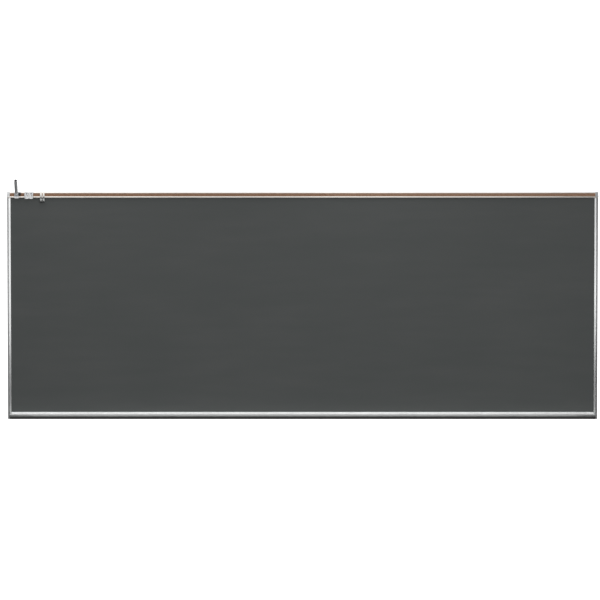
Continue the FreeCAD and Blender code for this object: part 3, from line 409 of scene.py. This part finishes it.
# %% Black plastic and black vinyl
def black_moulding(name, base, scuffed, smooth, rough, scale, depth):
    """A black plastic, scuffed in patches, with a fine moulded texture."""
    material, tree, shader = begin(name, Specular_IOR_Level=0.3)
    texture, scuffs = grain(tree, scale, detail=3.0), grain(tree, 210.0, detail=5.0)
    colour = mixed(tree, between(tree, scuffs, 0.0, 1.0, 0.48, 0.78), base, scuffed)
    close(tree, shader, colour, between(tree, scuffs, smooth, rough), texture, depth, 0.6)
    return material


BLACK_PLASTIC = black_moulding(
    "black_plastic", (0.016, 0.016, 0.017), (0.06, 0.06, 0.06), 0.38, 0.58, 3000.0, 0.04 * MM
)
BLACK_VINYL = black_moulding(
    "black_vinyl", (0.008, 0.008, 0.009), (0.035, 0.035, 0.035), 0.45, 0.68, 1200.0, 0.06 * MM
)
print("finishes:", BLACK_PLASTIC.name, BLACK_VINYL.name)

# %% [markdown]
# ## Give each engineering part its finish
#
# The engineering parts are already in place. Their meshes stay as they are, and only the
# material in each slot changes. A table of name beginnings is easier to check than fifty lines.

# %% Dress the engineering parts
FINISHES = {
    "writing_surface": SLATE_ENAMEL,
    "panel_core": FIBREBOARD,
    "panel_backer": FOIL,
    "left_side_trim": TRIM_ALUMINIUM,
    "right_side_trim": TRIM_ALUMINIUM,
    "map_rail": RAIL_ALUMINIUM,
    "chalk_tray": TRAY_ALUMINIUM,
    "tray_end_cap": METAL["grey_casting"],
    "rail_end_stop": METAL["grey_casting"],
    "corner_plate": GALVANISED,
    "wall_hanger": GALVANISED,
    "bottom_clip": GALVANISED,
    "corner_screws": METAL["bright_steel"],
    "end_cap_screws": METAL["bright_steel"],
    "end_stop_screws": METAL["bright_steel"],
    "staff_screw": METAL["bright_steel"],
    "clamp_screw": METAL["blued_steel"],
    "flag_bracket": METAL["cast_zinc"],
    "flag_tube": METAL["satin_chrome"],
    "roller_bracket": METAL["grey_casting"],
    "map_hook": METAL["nickel"],
    "hook_rivet": METAL["bright_steel"],
    # The jaws' darker steel is partly bare steel and partly painted shade under the hook plate.
    "rear_jaw": METAL["spring_steel_and_painted_shade"],
    "front_jaw": METAL["spring_steel_and_painted_shade"],
    "jaw_pin": METAL["bright_steel"],
    "jaw_spring": METAL["bright_steel"],
    "rear_tip": BLACK_VINYL,
    "front_tip": BLACK_VINYL,
    "staff_knob": BLACK_PLASTIC,
    "cork_strip_left": CORK_LEFT,
    "cork_strip_right": CORK_RIGHT,
}


def finish_of(name):
    """The finish whose key is the longest beginning of the part's name."""
    return FINISHES[max((key for key in FINISHES if name.startswith(key)), key=len)]


for name, part in frame["nodes"].items():
    for slot in part.material_slots:
        slot.material = finish_of(name)
print("dressed", len(frame["nodes"]), "parts in", len(set(FINISHES.values())), "finishes")

# %% [markdown]
# ## Rounded edges on the pressed and cast hardware
#
# Nothing stamped or cast has a perfectly sharp edge, and the thin bright line along a rounded edge
# is what tells the eye that a thing is metal. The engineering mesh is loose triangles, so a copy
# is merged, its flat faces are joined, and a Bevel modifier rounds the edges that turn
# sharply. The finished copy stands for the engineering part, on the same body.


# %% Round the edges of a copy
SHARP_TURN, FLAT_ENOUGH = math.radians(38), math.radians(0.6)
MERGE_WITHIN = 0.002 * MM


def rounded_copy(name, width, join_flats=True):
    """A copy of an engineering part with its sharp edges rounded to the given width."""
    part = frame["nodes"][name]
    shape = bmesh.new()
    shape.from_mesh(part.data)
    bmesh.ops.remove_doubles(shape, verts=shape.verts, dist=MERGE_WITHIN)
    if join_flats:
        bmesh.ops.dissolve_limit(
            shape, angle_limit=FLAT_ENOUGH, verts=shape.verts, edges=shape.edges
        )
    mesh = bpy.data.meshes.new(name + "_made")
    shape.to_mesh(mesh)
    shape.free()
    mesh.materials.clear()
    mesh.materials.append(finish_of(name))
    mesh.shade_smooth()
    mesh.set_sharp_from_angle(angle=SHARP_TURN)
    piece = bpy.data.objects.new(name + "_made", mesh)
    bpy.context.collection.objects.link(piece)
    bevel = piece.modifiers.new("rounded", "BEVEL")
    bevel.width = width
    bevel.segments = 2
    bevel.limit_method = "ANGLE"
    bevel.angle_limit = SHARP_TURN
    bevel.use_clamp_overlap = True
    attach(piece, part["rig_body"])
    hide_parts(name)
    return piece


# %% Which parts are rounded, and by how much
ROUNDING = {
    "map_hook": 0.25 * MM,
    "rear_jaw": 0.22 * MM,
    "front_jaw": 0.22 * MM,
    "rear_tip": 0.45 * MM,
    "front_tip": 0.45 * MM,
    "roller_bracket": 0.35 * MM,
    "wall_hanger": 0.3 * MM,
    "bottom_clip": 0.3 * MM,
    "corner_plate": 0.3 * MM,
    "tray_end_cap": 0.5 * MM,
    "rail_end_stop": 0.5 * MM,
}
for name in sorted(frame["nodes"]):
    for start, width in ROUNDING.items():
        if name.startswith(start) and frame["nodes"][name].type == "MESH":
            rounded_copy(name, width)
print("rounded:", ", ".join(sorted(ROUNDING)))

# %% [markdown]
# ## The flag tube's bore in painted shade
#
# The bore is given a near black finish, painted shade that stands for the shadow inside the tube,
# while the outside shines. A mesh can carry two materials: each face has an index that picks one.
# The faces of the bore are those that look towards the tube's own axis.

# %% Give the bore its own finish
staff_bore = next(m for m in frame["record"]["mounts"] if m["name"] == "flag_staff_tube")
TUBE_ROUNDING, LOOKS_INWARD = 0.25 * MM, -0.5
mouth, axis = Vector(staff_bore["pos_m"]), Vector(staff_bore["axis"])
tube = rounded_copy("flag_tube", TUBE_ROUNDING, join_flats=False)
# The bore's near black finish is painted shade for the shadow inside the tube.
tube.data.materials.append(METAL["bore_painted_shade"])
for face in tube.data.polygons:
    reach = face.center - mouth
    outward = reach - reach.dot(axis) * axis
    face.material_index = int(face.normal.dot(outward) < LOOKS_INWARD * outward.length)
print("bore faces:", sum(face.material_index for face in tube.data.polygons))

# %% [markdown]
# ## How the geometry trees are run
#
# Geometry Nodes build what repeats or follows a rule: screws, springs, the knob's flutes and the
# cork's granules. A tree has named inputs like a function has arguments. The result is taken as
# a plain mesh, so the finished piece carries no modifier and can ride on its body like any other.


# %% Start a tree, and run it
def new_tree(name, inputs):
    """An empty geometry tree with the named inputs: (name, socket type)."""
    tree = bpy.data.node_groups.new(name, "GeometryNodeTree")
    tree.interface.new_socket("Geometry", in_out="OUTPUT", socket_type="NodeSocketGeometry")
    tree.interface.new_socket("Geometry", in_out="INPUT", socket_type="NodeSocketGeometry")
    for label, kind in inputs:
        tree.interface.new_socket(label, in_out="INPUT", socket_type="NodeSocket" + kind)
    return tree, tree.nodes.new("NodeGroupInput").outputs


def placed(tree, geometry, at, turned=(0.0, 0.0, 0.0)):
    """Geometry turned about the origin and then moved."""
    sockets = {"Geometry": geometry, "Translation": at, "Rotation": turned}
    return wire(tree, "GeometryNodeTransform", sockets).outputs[0]


def pushed(tree, geometry, offset):
    """Geometry whose points are each moved by their own offset."""
    sockets = {"Geometry": geometry, "Offset": offset}
    return wire(tree, "GeometryNodeSetPosition", sockets).outputs[0]


def end_tree(tree, geometry, finish):
    """Every tree ends the same way: real geometry with its material."""
    real = wire(tree, "GeometryNodeRealizeInstances", {"Geometry": geometry}).outputs[0]
    sockets = {"Geometry": real, "Material": finish}
    dressed = wire(tree, "GeometryNodeSetMaterial", sockets).outputs[0]
    out = tree.nodes.new("NodeGroupOutput")
    tree.links.new(dressed, out.inputs[0])


def run_tree(name, tree, values, seats=None):
    """Run a tree on a mesh of seats, or on nothing, and keep the result as a plain mesh."""
    piece = bpy.data.objects.new(name, seats or bpy.data.meshes.new(name))
    bpy.context.collection.objects.link(piece)
    modifier = piece.modifiers.new("shape", "NODES")
    modifier.node_group = tree
    for socket in tree.interface.items_tree:
        if socket.in_out == "INPUT" and socket.name in values:
            modifier[socket.identifier] = values[socket.name]
    piece.update_tag()
    graph = bpy.context.evaluated_depsgraph_get()
    made = bpy.data.meshes.new_from_object(piece.evaluated_get(graph))
    piece.modifiers.remove(modifier)
    piece.data = made
    made.shade_smooth()
    made.set_sharp_from_angle(angle=SHARP_TURN)
    return piece


def stand_in(piece, node):
    """The piece stands for the engineering part and rides on its body."""
    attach(piece, frame["nodes"][node]["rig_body"])
    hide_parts(node)
    print(piece.name, "has", len(piece.data.polygons), "faces")


# %% [markdown]
# ## Cross-head screws
#
# The frame is held by pan head screws. One screw is modelled inside the tree: a disc whose top is
# drawn down towards the rim into a dome, less a cross cut with two crossed bars. Then it is put on
# every seat, turned to face outwards, and spun by a seeded random angle, because nobody
# stops a screwdriver at the same angle twice.

# %% The screw tree
TURN = 2 * math.pi
# As shares of the head's radius or height: the cross, how high it sits, and the dome.
CROSS_LONG, CROSS_WIDE, CROSS_LIFT, DOME_DROP = 1.15, 0.26, 0.52, 0.45
SHANK_BITE = 0.495


def screw_tree():
    """A pan head screw with a cross cut, on every point of the mesh it is given."""
    tree, given = new_tree("crosshead_screws", [
        ("Head Radius", "Float"), ("Head Height", "Float"), ("Shank Radius", "Float"),
        ("Shank Length", "Float"), ("Seed", "Int"), ("Finish", "Material")])
    radius, height = given["Head Radius"], given["Head Height"]
    disc = wire(tree, "GeometryNodeMeshCylinder", {
        "Vertices": 28, "Side Segments": 2, "Fill Segments": 5,
        "Radius": radius, "Depth": height}, fill_type="NGON").outputs[0]
    where = split(tree, wire(tree, "GeometryNodeInputPosition").outputs[0])
    squares = [
        maths(tree, "POWER", maths(tree, "DIVIDE", where[axis], radius), 2.0) for axis in (0, 1)
    ]
    outward = maths(tree, "ADD", *squares)
    upper = maths(tree, "ADD", maths(tree, "DIVIDE", where[2], height), 0.5)
    drop = times(tree, times(tree, outward, upper), times(tree, height, -DOME_DROP))
    dome = pushed(tree, disc, joined(tree, z=drop))
    lift = joined(tree, z=times(tree, height, CROSS_LIFT))
    cut = wire(tree, "GeometryNodeMeshBoolean", {0: dome}, operation="DIFFERENCE", solver="EXACT")
    for along, across in ((CROSS_LONG, CROSS_WIDE), (CROSS_WIDE, CROSS_LONG)):
        size = joined(tree, times(tree, radius, along), times(tree, radius, across), height)
        bar = wire(tree, "GeometryNodeMeshCube", {"Size": size}).outputs[0]
        tree.links.new(placed(tree, bar, lift), cut.inputs[1])
    shank = wire(tree, "GeometryNodeMeshCylinder", {
        "Vertices": 16, "Radius": given["Shank Radius"],
        "Depth": given["Shank Length"]}).outputs[0]
    reach = maths(tree, "ADD", given["Shank Length"], height)
    shank = placed(tree, shank, joined(tree, z=times(tree, reach, -SHANK_BITE)))
    screw = wire(tree, "GeometryNodeJoinGeometry")
    for part in (cut.outputs[0], shank):
        tree.links.new(part, screw.inputs[0])
    facing = wire(
        tree, "GeometryNodeInputNamedAttribute", {"Name": "facing"}, data_type="FLOAT_VECTOR"
    ).outputs[0]
    aimed = wire(
        tree, "FunctionNodeAlignRotationToVector", {"Vector": facing}, axis="Z"
    ).outputs[0]
    points = wire(tree, "GeometryNodeInstanceOnPoints", {
        "Points": given["Geometry"], "Instance": screw.outputs[0], "Rotation": aimed}).outputs[0]
    angle = wire(tree, "FunctionNodeRandomValue", {
        2: 0.0, 3: TURN, "Seed": given["Seed"]}, data_type="FLOAT").outputs[1]
    spun = wire(tree, "GeometryNodeRotateInstances", {
        "Instances": points, "Rotation": joined(tree, z=angle)}).outputs[0]
    end_tree(tree, spun, given["Finish"])
    return tree


SCREWS = screw_tree()
print("tree:", SCREWS.name, "with", len(SCREWS.nodes), "nodes")


# %% Where the screws sit
def islands(mesh):
    """The lowest and highest corner of each separate body of a mesh."""
    shape = bmesh.new()
    shape.from_mesh(mesh)
    bmesh.ops.remove_doubles(shape, verts=shape.verts, dist=MERGE_WITHIN)
    left, found = set(shape.verts), []
    while left:
        front = [left.pop()]
        body = list(front)
        while front:
            for edge in front.pop().link_edges:
                for vertex in edge.verts:
                    if vertex in left:
                        left.remove(vertex)
                        front.append(vertex)
                        body.append(vertex)
        corners = [[pick(v.co[axis] for v in body) for axis in range(3)] for pick in (min, max)]
        found.append((Vector(corners[0]), Vector(corners[1])))
    shape.free()
    return sorted(found, key=lambda pair: tuple(pair[0]))


def screw_seats(node, head_height, facing_of):
    """A mesh of points halfway up each screw's head, each with the way the head faces."""
    places, facings = [], []
    for low, high in islands(frame["nodes"][node].data):
        middle = (low + high) / 2
        facing = Vector(facing_of(middle))
        reach = max(abs(a * b) for a, b in zip((high - low) / 2, facing))
        places.append(middle + facing * (reach - head_height / 2))
        facings.append(facing)
    mesh = bpy.data.meshes.new(node + "_seats")
    mesh.from_pydata(places, [], [])
    kept = mesh.attributes.new("facing", "FLOAT_VECTOR", "POINT")
    for value, facing in zip(kept.data, facings):
        value.vector = facing
    return mesh


# %% Put the screws in
HEAD_RADIUS, HEAD_HEIGHT = 3.3 * MM, 1.8 * MM
SHANK_RADIUS = 1.75 * MM
SCREW_GROUPS = {
    "corner_screws": (3.4 * MM, lambda middle: (0, 1, 0), 11),
    "end_cap_screws": (10 * MM, lambda middle: (math.copysign(1, middle.x), 0, 0), 12),
    "end_stop_screws": (10 * MM, lambda middle: (math.copysign(1, middle.x), 0, 0), 13),
}
for node, (shank, facing_of, seed) in SCREW_GROUPS.items():
    seats = screw_seats(node, HEAD_HEIGHT, facing_of)
    values = {"Head Radius": HEAD_RADIUS, "Head Height": HEAD_HEIGHT, "Shank Radius": SHANK_RADIUS,
              "Shank Length": shank, "Seed": seed, "Finish": METAL["bright_steel"]}
    stand_in(run_tree(node + "_crosshead", SCREWS, values, seats), node)

# %% [markdown]
# ## Torsion springs
#
# Each clip closes by a torsion spring on its pin: a close coil of round wire with two straight
# legs. The long one lies against the fixed jaw's neck, and the short one behind the front jaw,
# clear of it when it opens. A spiral curve with a round profile swept along it gives the
# coil at its true wire size, which a plain tube can't.


# %% The spring tree
SHORT_LEG = 0.25  # of the long leg


def spring_tree():
    """A coil along X of round wire, with a long leg behind and a short one in front."""
    tree, given = new_tree("torsion_spring", [
        ("Coil Radius", "Float"), ("Wire Radius", "Float"), ("Turns", "Float"),
        ("Width", "Float"), ("Leg", "Float"), ("Middle", "Vector"), ("Finish", "Material")])
    radius, width = given["Coil Radius"], given["Width"]
    coil = wire(tree, "GeometryNodeCurveSpiral", {
        "Resolution": 20, "Rotations": given["Turns"], "Start Radius": radius,
        "End Radius": radius, "Height": width}).outputs[0]
    start = joined(tree, times(tree, width, -0.5))
    paths = wire(tree, "GeometryNodeJoinGeometry")
    tree.links.new(placed(tree, coil, start, (TURN / 4, 0.0, TURN / 4)), paths.inputs[0])
    for side, share in ((-1.0, 1.0), (1.0, SHORT_LEG)):
        across, back = times(tree, width, 0.5 * side), times(tree, radius, -side)
        length = times(tree, given["Leg"], share)
        foot, tip = joined(tree, across, back), joined(tree, across, back, length)
        leg = wire(tree, "GeometryNodeCurvePrimitiveLine", {"Start": foot, "End": tip}).outputs[0]
        tree.links.new(leg, paths.inputs[0])
    ring = wire(tree, "GeometryNodeCurvePrimitiveCircle", {
        "Resolution": 10, "Radius": given["Wire Radius"]}).outputs[0]
    swept = wire(tree, "GeometryNodeCurveToMesh", {
        "Curve": paths.outputs[0], "Profile Curve": ring, "Fill Caps": True}).outputs[0]
    end_tree(tree, placed(tree, swept, given["Middle"]), given["Finish"])
    return tree


SPRINGS = spring_tree()
print("tree:", SPRINGS.name, "with", len(SPRINGS.nodes), "nodes")

# %% Wind the two springs
WIRE_RADIUS, SPRING_TURNS, LEG = 0.33 * MM, 5.5, 3.4 * MM
for side in ("left", "right"):
    low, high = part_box("jaw_spring_" + side)
    low, high = Vector(low), Vector(high)
    values = {"Coil Radius": (high.z - low.z) / 2 - WIRE_RADIUS, "Wire Radius": WIRE_RADIUS,
              "Turns": SPRING_TURNS, "Width": high.x - low.x - 2 * WIRE_RADIUS, "Leg": LEG,
              "Middle": (low + high) / 2, "Finish": METAL["bright_steel"]}
    stand_in(run_tree(f"jaw_spring_{side}_wound", SPRINGS, values), "jaw_spring_" + side)

# %% [markdown]
# ## The fluted knob
#
# The staff screw is turned by a moulded knob with shallow flutes for the fingers. A cylinder with
# enough divisions is pushed inwards by a cosine of the angle, so the number of flutes is one
# input. The same step draws in both rims and dishes the ends, as a mould would.


# %% The knob tree
RIM_POWER, RIM_PULL = 7.0, 0.13
DISH_POWER, DISH_REACH = 6.0, 1.3


def knob_tree():
    """A fluted knob along X, with drawn-in rims and dished ends."""
    tree, given = new_tree("fluted_knob", [
        ("Radius", "Float"), ("Length", "Float"), ("Flutes", "Float"), ("Flute Depth", "Float"),
        ("Dish", "Float"), ("Middle", "Vector"), ("Finish", "Material")])
    radius = given["Radius"]
    body = wire(tree, "GeometryNodeMeshCylinder", {
        "Vertices": 120, "Side Segments": 12, "Fill Segments": 12,
        "Radius": radius, "Depth": given["Length"]}, fill_type="NGON").outputs[0]
    where = split(tree, wire(tree, "GeometryNodeInputPosition").outputs[0])
    squares = [maths(tree, "POWER", where[axis], 2.0) for axis in (0, 1)]
    share = maths(tree, "DIVIDE", maths(tree, "SQRT", maths(tree, "ADD", *squares)), radius)
    # The flutes: a cosine of the angle, which fades towards the knob's axis.
    angle = maths(tree, "ARCTAN2", where[1], where[0])
    wave = maths(tree, "COSINE", times(tree, angle, given["Flutes"]))
    wave = maths(tree, "ADD", wave, 1.0)
    flute = times(tree, wave, given["Flute Depth"], -0.5, maths(tree, "POWER", share, 4.0))
    # The rims: drawn in more and more steeply near both ends.
    half = times(tree, given["Length"], 0.5)
    end = maths(tree, "DIVIDE", maths(tree, "ABSOLUTE", where[2]), half)
    rim = times(tree, maths(tree, "POWER", end, RIM_POWER), times(tree, radius, -RIM_PULL))
    pull = maths(tree, "DIVIDE", maths(tree, "ADD", flute, times(tree, rim, share)), radius)
    # The dished ends: only the points on an end face are sunk.
    spread = maths(tree, "MINIMUM", times(tree, share, DISH_REACH), 1.0)
    hollow = maths(tree, "SUBTRACT", 1.0, maths(tree, "POWER", spread, DISH_POWER))
    on_end = maths(tree, "FLOOR", maths(tree, "ADD", end, 0.01))
    outwards = times(tree, maths(tree, "SIGN", where[2]), on_end)
    sunk = times(tree, times(tree, hollow, given["Dish"]), outwards)
    offset = joined(
        tree, times(tree, where[0], pull), times(tree, where[1], pull), times(tree, sunk, -1.0)
    )
    shaped = pushed(tree, body, offset)
    lying = placed(tree, shaped, given["Middle"], (0.0, TURN / 4, 0.0))
    end_tree(tree, lying, given["Finish"])
    return tree


KNOB = knob_tree()
FLUTES, FLUTE_DEPTH, DISH_DEPTH = 10.0, 0.9 * MM, 0.8 * MM
low, high = (Vector(corner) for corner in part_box("staff_knob"))
knob_values = {"Radius": (high.z - low.z) / 2, "Length": high.x - low.x, "Flutes": FLUTES,
               "Flute Depth": FLUTE_DEPTH, "Dish": DISH_DEPTH, "Middle": (low + high) / 2,
               "Finish": BLACK_PLASTIC}
stand_in(run_tree("staff_knob_fluted", KNOB, knob_values), "staff_knob")

# %% [markdown]
# ## The cork strips
#
# Sliced cork has a real surface: the granules stand up a little between the glue lines. A block
# with a fine grid on its front is moved in and out by the same cell pattern that colours
# the granules, so the light side of each granule and its colour belong together. The edges of the
# strip stay where they are, tight in the rail's groove.

# %% The cork tree
LUMP_SCALE, GRANULE_LEVEL, LUMP_LEVEL = 90.0, 0.45, 0.5
# The outermost points of the front stay put: these shares of the size bound the rest.
RELIEF_ENDS_ALONG, RELIEF_ENDS_UP = 0.4999, 0.499


def cork_tree():
    """A long block whose front is raised by the cells that colour the cork."""
    tree, given = new_tree("granulated_strip", [
        ("Size", "Vector"), ("Columns", "Int"), ("Rows", "Int"), ("Middle", "Vector"),
        ("Granules", "Float"), ("Relief", "Float"), ("Seed", "Float"), ("Finish", "Material")])
    block = wire(tree, "GeometryNodeMeshCube", {
        "Size": given["Size"], "Vertices X": given["Columns"], "Vertices Y": 2,
        "Vertices Z": given["Rows"]}).outputs[0]
    sizes = split(tree, given["Size"])
    position = wire(tree, "GeometryNodeInputPosition").outputs[0]
    where = split(tree, position)
    within = []
    for axis, edge in ((0, RELIEF_ENDS_ALONG), (2, RELIEF_ENDS_UP)):
        reach = maths(tree, "ABSOLUTE", where[axis])
        within.append(maths(tree, "LESS_THAN", reach, times(tree, sizes[axis], edge)))
    front = maths(tree, "LESS_THAN", where[1], 0.0)
    chosen = times(tree, *within, front)
    seen_at = wire(
        tree, "ShaderNodeVectorMath", {0: position, 1: given["Middle"]}, operation="ADD"
    ).outputs[0]
    granule = wire(tree, "ShaderNodeTexVoronoi", {
        "Vector": seen_at, "Scale": given["Granules"]}).outputs["Distance"]
    lump = wire(tree, "ShaderNodeTexNoise", {
        "Vector": seen_at, "W": given["Seed"], "Scale": LUMP_SCALE},
        noise_dimensions="4D").outputs[0]
    granule_rise = maths(tree, "SUBTRACT", GRANULE_LEVEL, granule)
    rise = maths(tree, "ADD", granule_rise, maths(tree, "SUBTRACT", lump, LUMP_LEVEL))
    out = times(tree, times(tree, rise, given["Relief"]), times(tree, chosen, -1.0))
    raised = pushed(tree, block, joined(tree, y=out))
    end_tree(tree, placed(tree, raised, given["Middle"]), given["Finish"])
    return tree


CORK = cork_tree()
print("tree:", CORK.name, "with", len(CORK.nodes), "nodes")

# %% Lay the two strips
GRID, RELIEF = 1.3 * MM, 0.35 * MM
for side, finish, seed in (("left", CORK_LEFT, 3.0), ("right", CORK_RIGHT, 8.0)):
    low, high = (Vector(corner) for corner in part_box("cork_strip_" + side))
    size = high - low
    values = {"Size": size, "Columns": round(size.x / GRID), "Rows": round(size.z / GRID),
              "Middle": (low + high) / 2, "Granules": GRANULES, "Relief": RELIEF,
              "Seed": seed, "Finish": finish}
    stand_in(run_tree(f"cork_strip_{side}_granulated", CORK, values), "cork_strip_" + side)

# %% [markdown]
# ## The stage
#
# The board hangs clear of everything, over a plain pale floor, in soft studio light. Aluminium
# shows whatever it faces, so where the light stands matters more than the metal. A wall of
# light in front makes the trims bright at the top and darker towards the floor, two pools
# near the rail give it brighter stretches, and a low strip picks out the tray's nose. A wide
# soft box far in front lights the slate, and one behind shows the foil. The floor is kept out
# of the reflections, so the underside of the tray stays dark.
#
# This is lighting for the look, not a real studio. Each box lights either gloss or matt, which
# no real lamp does, the floor gives off most of its own brightness, and the sky is white
# to the camera only. The boxes' sizes, places and watts are fitted by trial.

# %% Floor
FLOOR_DROP, FLOOR_SIZE, FLOOR_GLOW = 1.3, 260.0, 0.75


def pale_floor():
    """A dull floor that gives off most of its own brightness, so it looks nearly white."""
    material, _, shader = begin("pale_floor", Roughness=0.9, Specular_IOR_Level=0.1)
    shader.inputs["Base Color"].default_value = (0.92, 0.92, 0.92, 1.0)
    shader.inputs["Emission Color"].default_value = (1.0, 1.0, 1.0, 1.0)
    shader.inputs["Emission Strength"].default_value = FLOOR_GLOW
    return material


half = FLOOR_SIZE / 2
floor_height = cad_box[0].z - FLOOR_DROP
floor_mesh = bpy.data.meshes.new("floor")
floor_mesh.from_pydata(
    [(-half, -half, floor_height), (half, -half, floor_height),
     (half, half, floor_height), (-half, half, floor_height)], [], [(0, 1, 2, 3)])
floor = bpy.data.objects.new("floor", floor_mesh)
floor.data.materials.append(pale_floor())
floor.visible_diffuse = False
floor.visible_glossy = False
bpy.context.collection.objects.link(floor)
print("floor at", round(floor_height, 3), "m")

# %% Sky of the studio
HORIZON_GLOW, ZENITH_GLOW, GROUND_GLOW = 0.085, 0.8, 0.04
HIGH_SKY, LOW_GROUND = 0.85, -0.25
world = bpy.data.worlds.new("studio")
bpy.context.scene.world = world
world.use_nodes = True
sky = world.node_tree
backdrop = sky.nodes["Background"]
upward = split(sky, wire(sky, "ShaderNodeTexCoord").outputs["Generated"])[2]
above = between(sky, upward, HORIZON_GLOW, ZENITH_GLOW, 0.0, HIGH_SKY)
below = between(sky, upward, GROUND_GLOW, 0.0, LOW_GROUND, 0.0)
blend = between(sky, upward, 0.0, 1.0, LOW_GROUND, 0.0)
glow = maths(sky, "ADD", below, times(sky, above, blend))
seen = wire(sky, "ShaderNodeLightPath").outputs["Is Camera Ray"]
strength = wire(sky, "ShaderNodeMix", {0: seen, 2: glow, 3: 1.0}, data_type="FLOAT").outputs[0]
sky.links.new(strength, backdrop.inputs["Strength"])
backdrop.inputs["Color"].default_value = (1.0, 1.0, 1.0, 1.0)
print("studio sky from", GROUND_GLOW, "to", ZENITH_GLOW)


# %% Softboxes
def softbox(name, size, place, aim, power, lights):
    """An area light of the given width and height, turned to face a point."""
    lamp = bpy.data.lights.new(name, "AREA")
    lamp.shape = "RECTANGLE"
    lamp.size, lamp.size_y = size
    lamp.energy = power
    box = bpy.data.objects.new(name, lamp)
    box.location = place
    box.rotation_euler = (Vector(aim) - Vector(place)).to_track_quat("-Z", "Y").to_euler()
    box.visible_camera = False
    box.visible_diffuse = lights == "matt"
    box.visible_glossy = lights == "gloss"
    bpy.context.collection.objects.link(box)


rail_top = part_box("map_rail")[1][2]
# Size, place, the point it faces, watts, and whether it lights only gloss or only matt.
SOFTBOXES = {
    "front_wall": ((3.40, 2.30), (-0.35, -0.9, 0.85), (-0.35, 0, 0.85), 17.6, "gloss"),
    "middle_wall": ((3.40, 0.64), (-0.35, -0.88, -0.01), (-0.35, 0, -0.01), 2.5, "gloss"),
    "overhead": ((4.6, 0.6), (0, -0.9, rail_top + 1.3), (0, 0, rail_top), 6.5, "gloss"),
    "front_fill": ((6.0, 4.0), (0, -9.0, rail_top + 0.6), (0, 0, 0), 550, "matt"),
    "left_pool": ((0.9, 0.8), (-1.30, -0.8, 0.85), (-1.30, 0, 0.85), 1.1, "gloss"),
    "left_pool_spill": (
        (0.9, 0.2), (-1.30, -0.35, rail_top + 0.35), (-1.30, 0, rail_top), 0.5, "matt"),
    "right_pool": ((0.5, 0.8), (0.33, -0.8, 0.85), (0.33, 0, 0.85), 0.65, "gloss"),
    "right_pool_spill": (
        (0.5, 0.2), (0.33, -0.35, rail_top + 0.35), (0.33, 0, rail_top), 0.5, "matt"),
    "right_glow": ((0.6, 0.5), (1.6, -0.9, 0.03), (1.5, 0, 0.03), 1.0, "gloss"),
    "low_strip": ((2.90, 0.10), (0, -0.38, -0.635), (0, -0.13, -0.585), 0.45, "gloss"),
    "rear_wall": ((3.6, 2.0), (0.1, 1.6, -0.1), (0.1, 0, -0.1), 11.0, "gloss"),
}
for name, settings in SOFTBOXES.items():
    softbox(name, *settings)
print("softboxes:", ", ".join(SOFTBOXES))

# %% [markdown]
# ## Camera
#
# A catalogue view of a three metre board is taken from far away with a long lens, a few
# degrees above level, so the board stays a rectangle and only a sliver of the tray shows. The
# scene is shown without a film curve, so that white stays white.

# %% Camera
LENS, SENSOR = 323.7, 36.0
CLIP_NEAR, CLIP_FAR = 0.1, 400.0
DISTANCE, RISE = 28.0, math.radians(4.8)
AIM = Vector((-0.0133, 0.0, 0.0284))
camera_data = bpy.data.cameras.new("camera")
camera_data.lens, camera_data.sensor_width = LENS, SENSOR
camera_data.clip_start, camera_data.clip_end = CLIP_NEAR, CLIP_FAR
camera = bpy.data.objects.new("camera", camera_data)
camera.location = AIM + Vector((0, -math.cos(RISE), math.sin(RISE))) * DISTANCE
camera.rotation_euler = (AIM - camera.location).to_track_quat("-Z", "Y").to_euler()
bpy.context.collection.objects.link(camera)
bpy.context.scene.camera = camera
bpy.context.scene.view_settings.view_transform = "Standard"
print("camera", DISTANCE, "m away, lens", LENS, "mm")
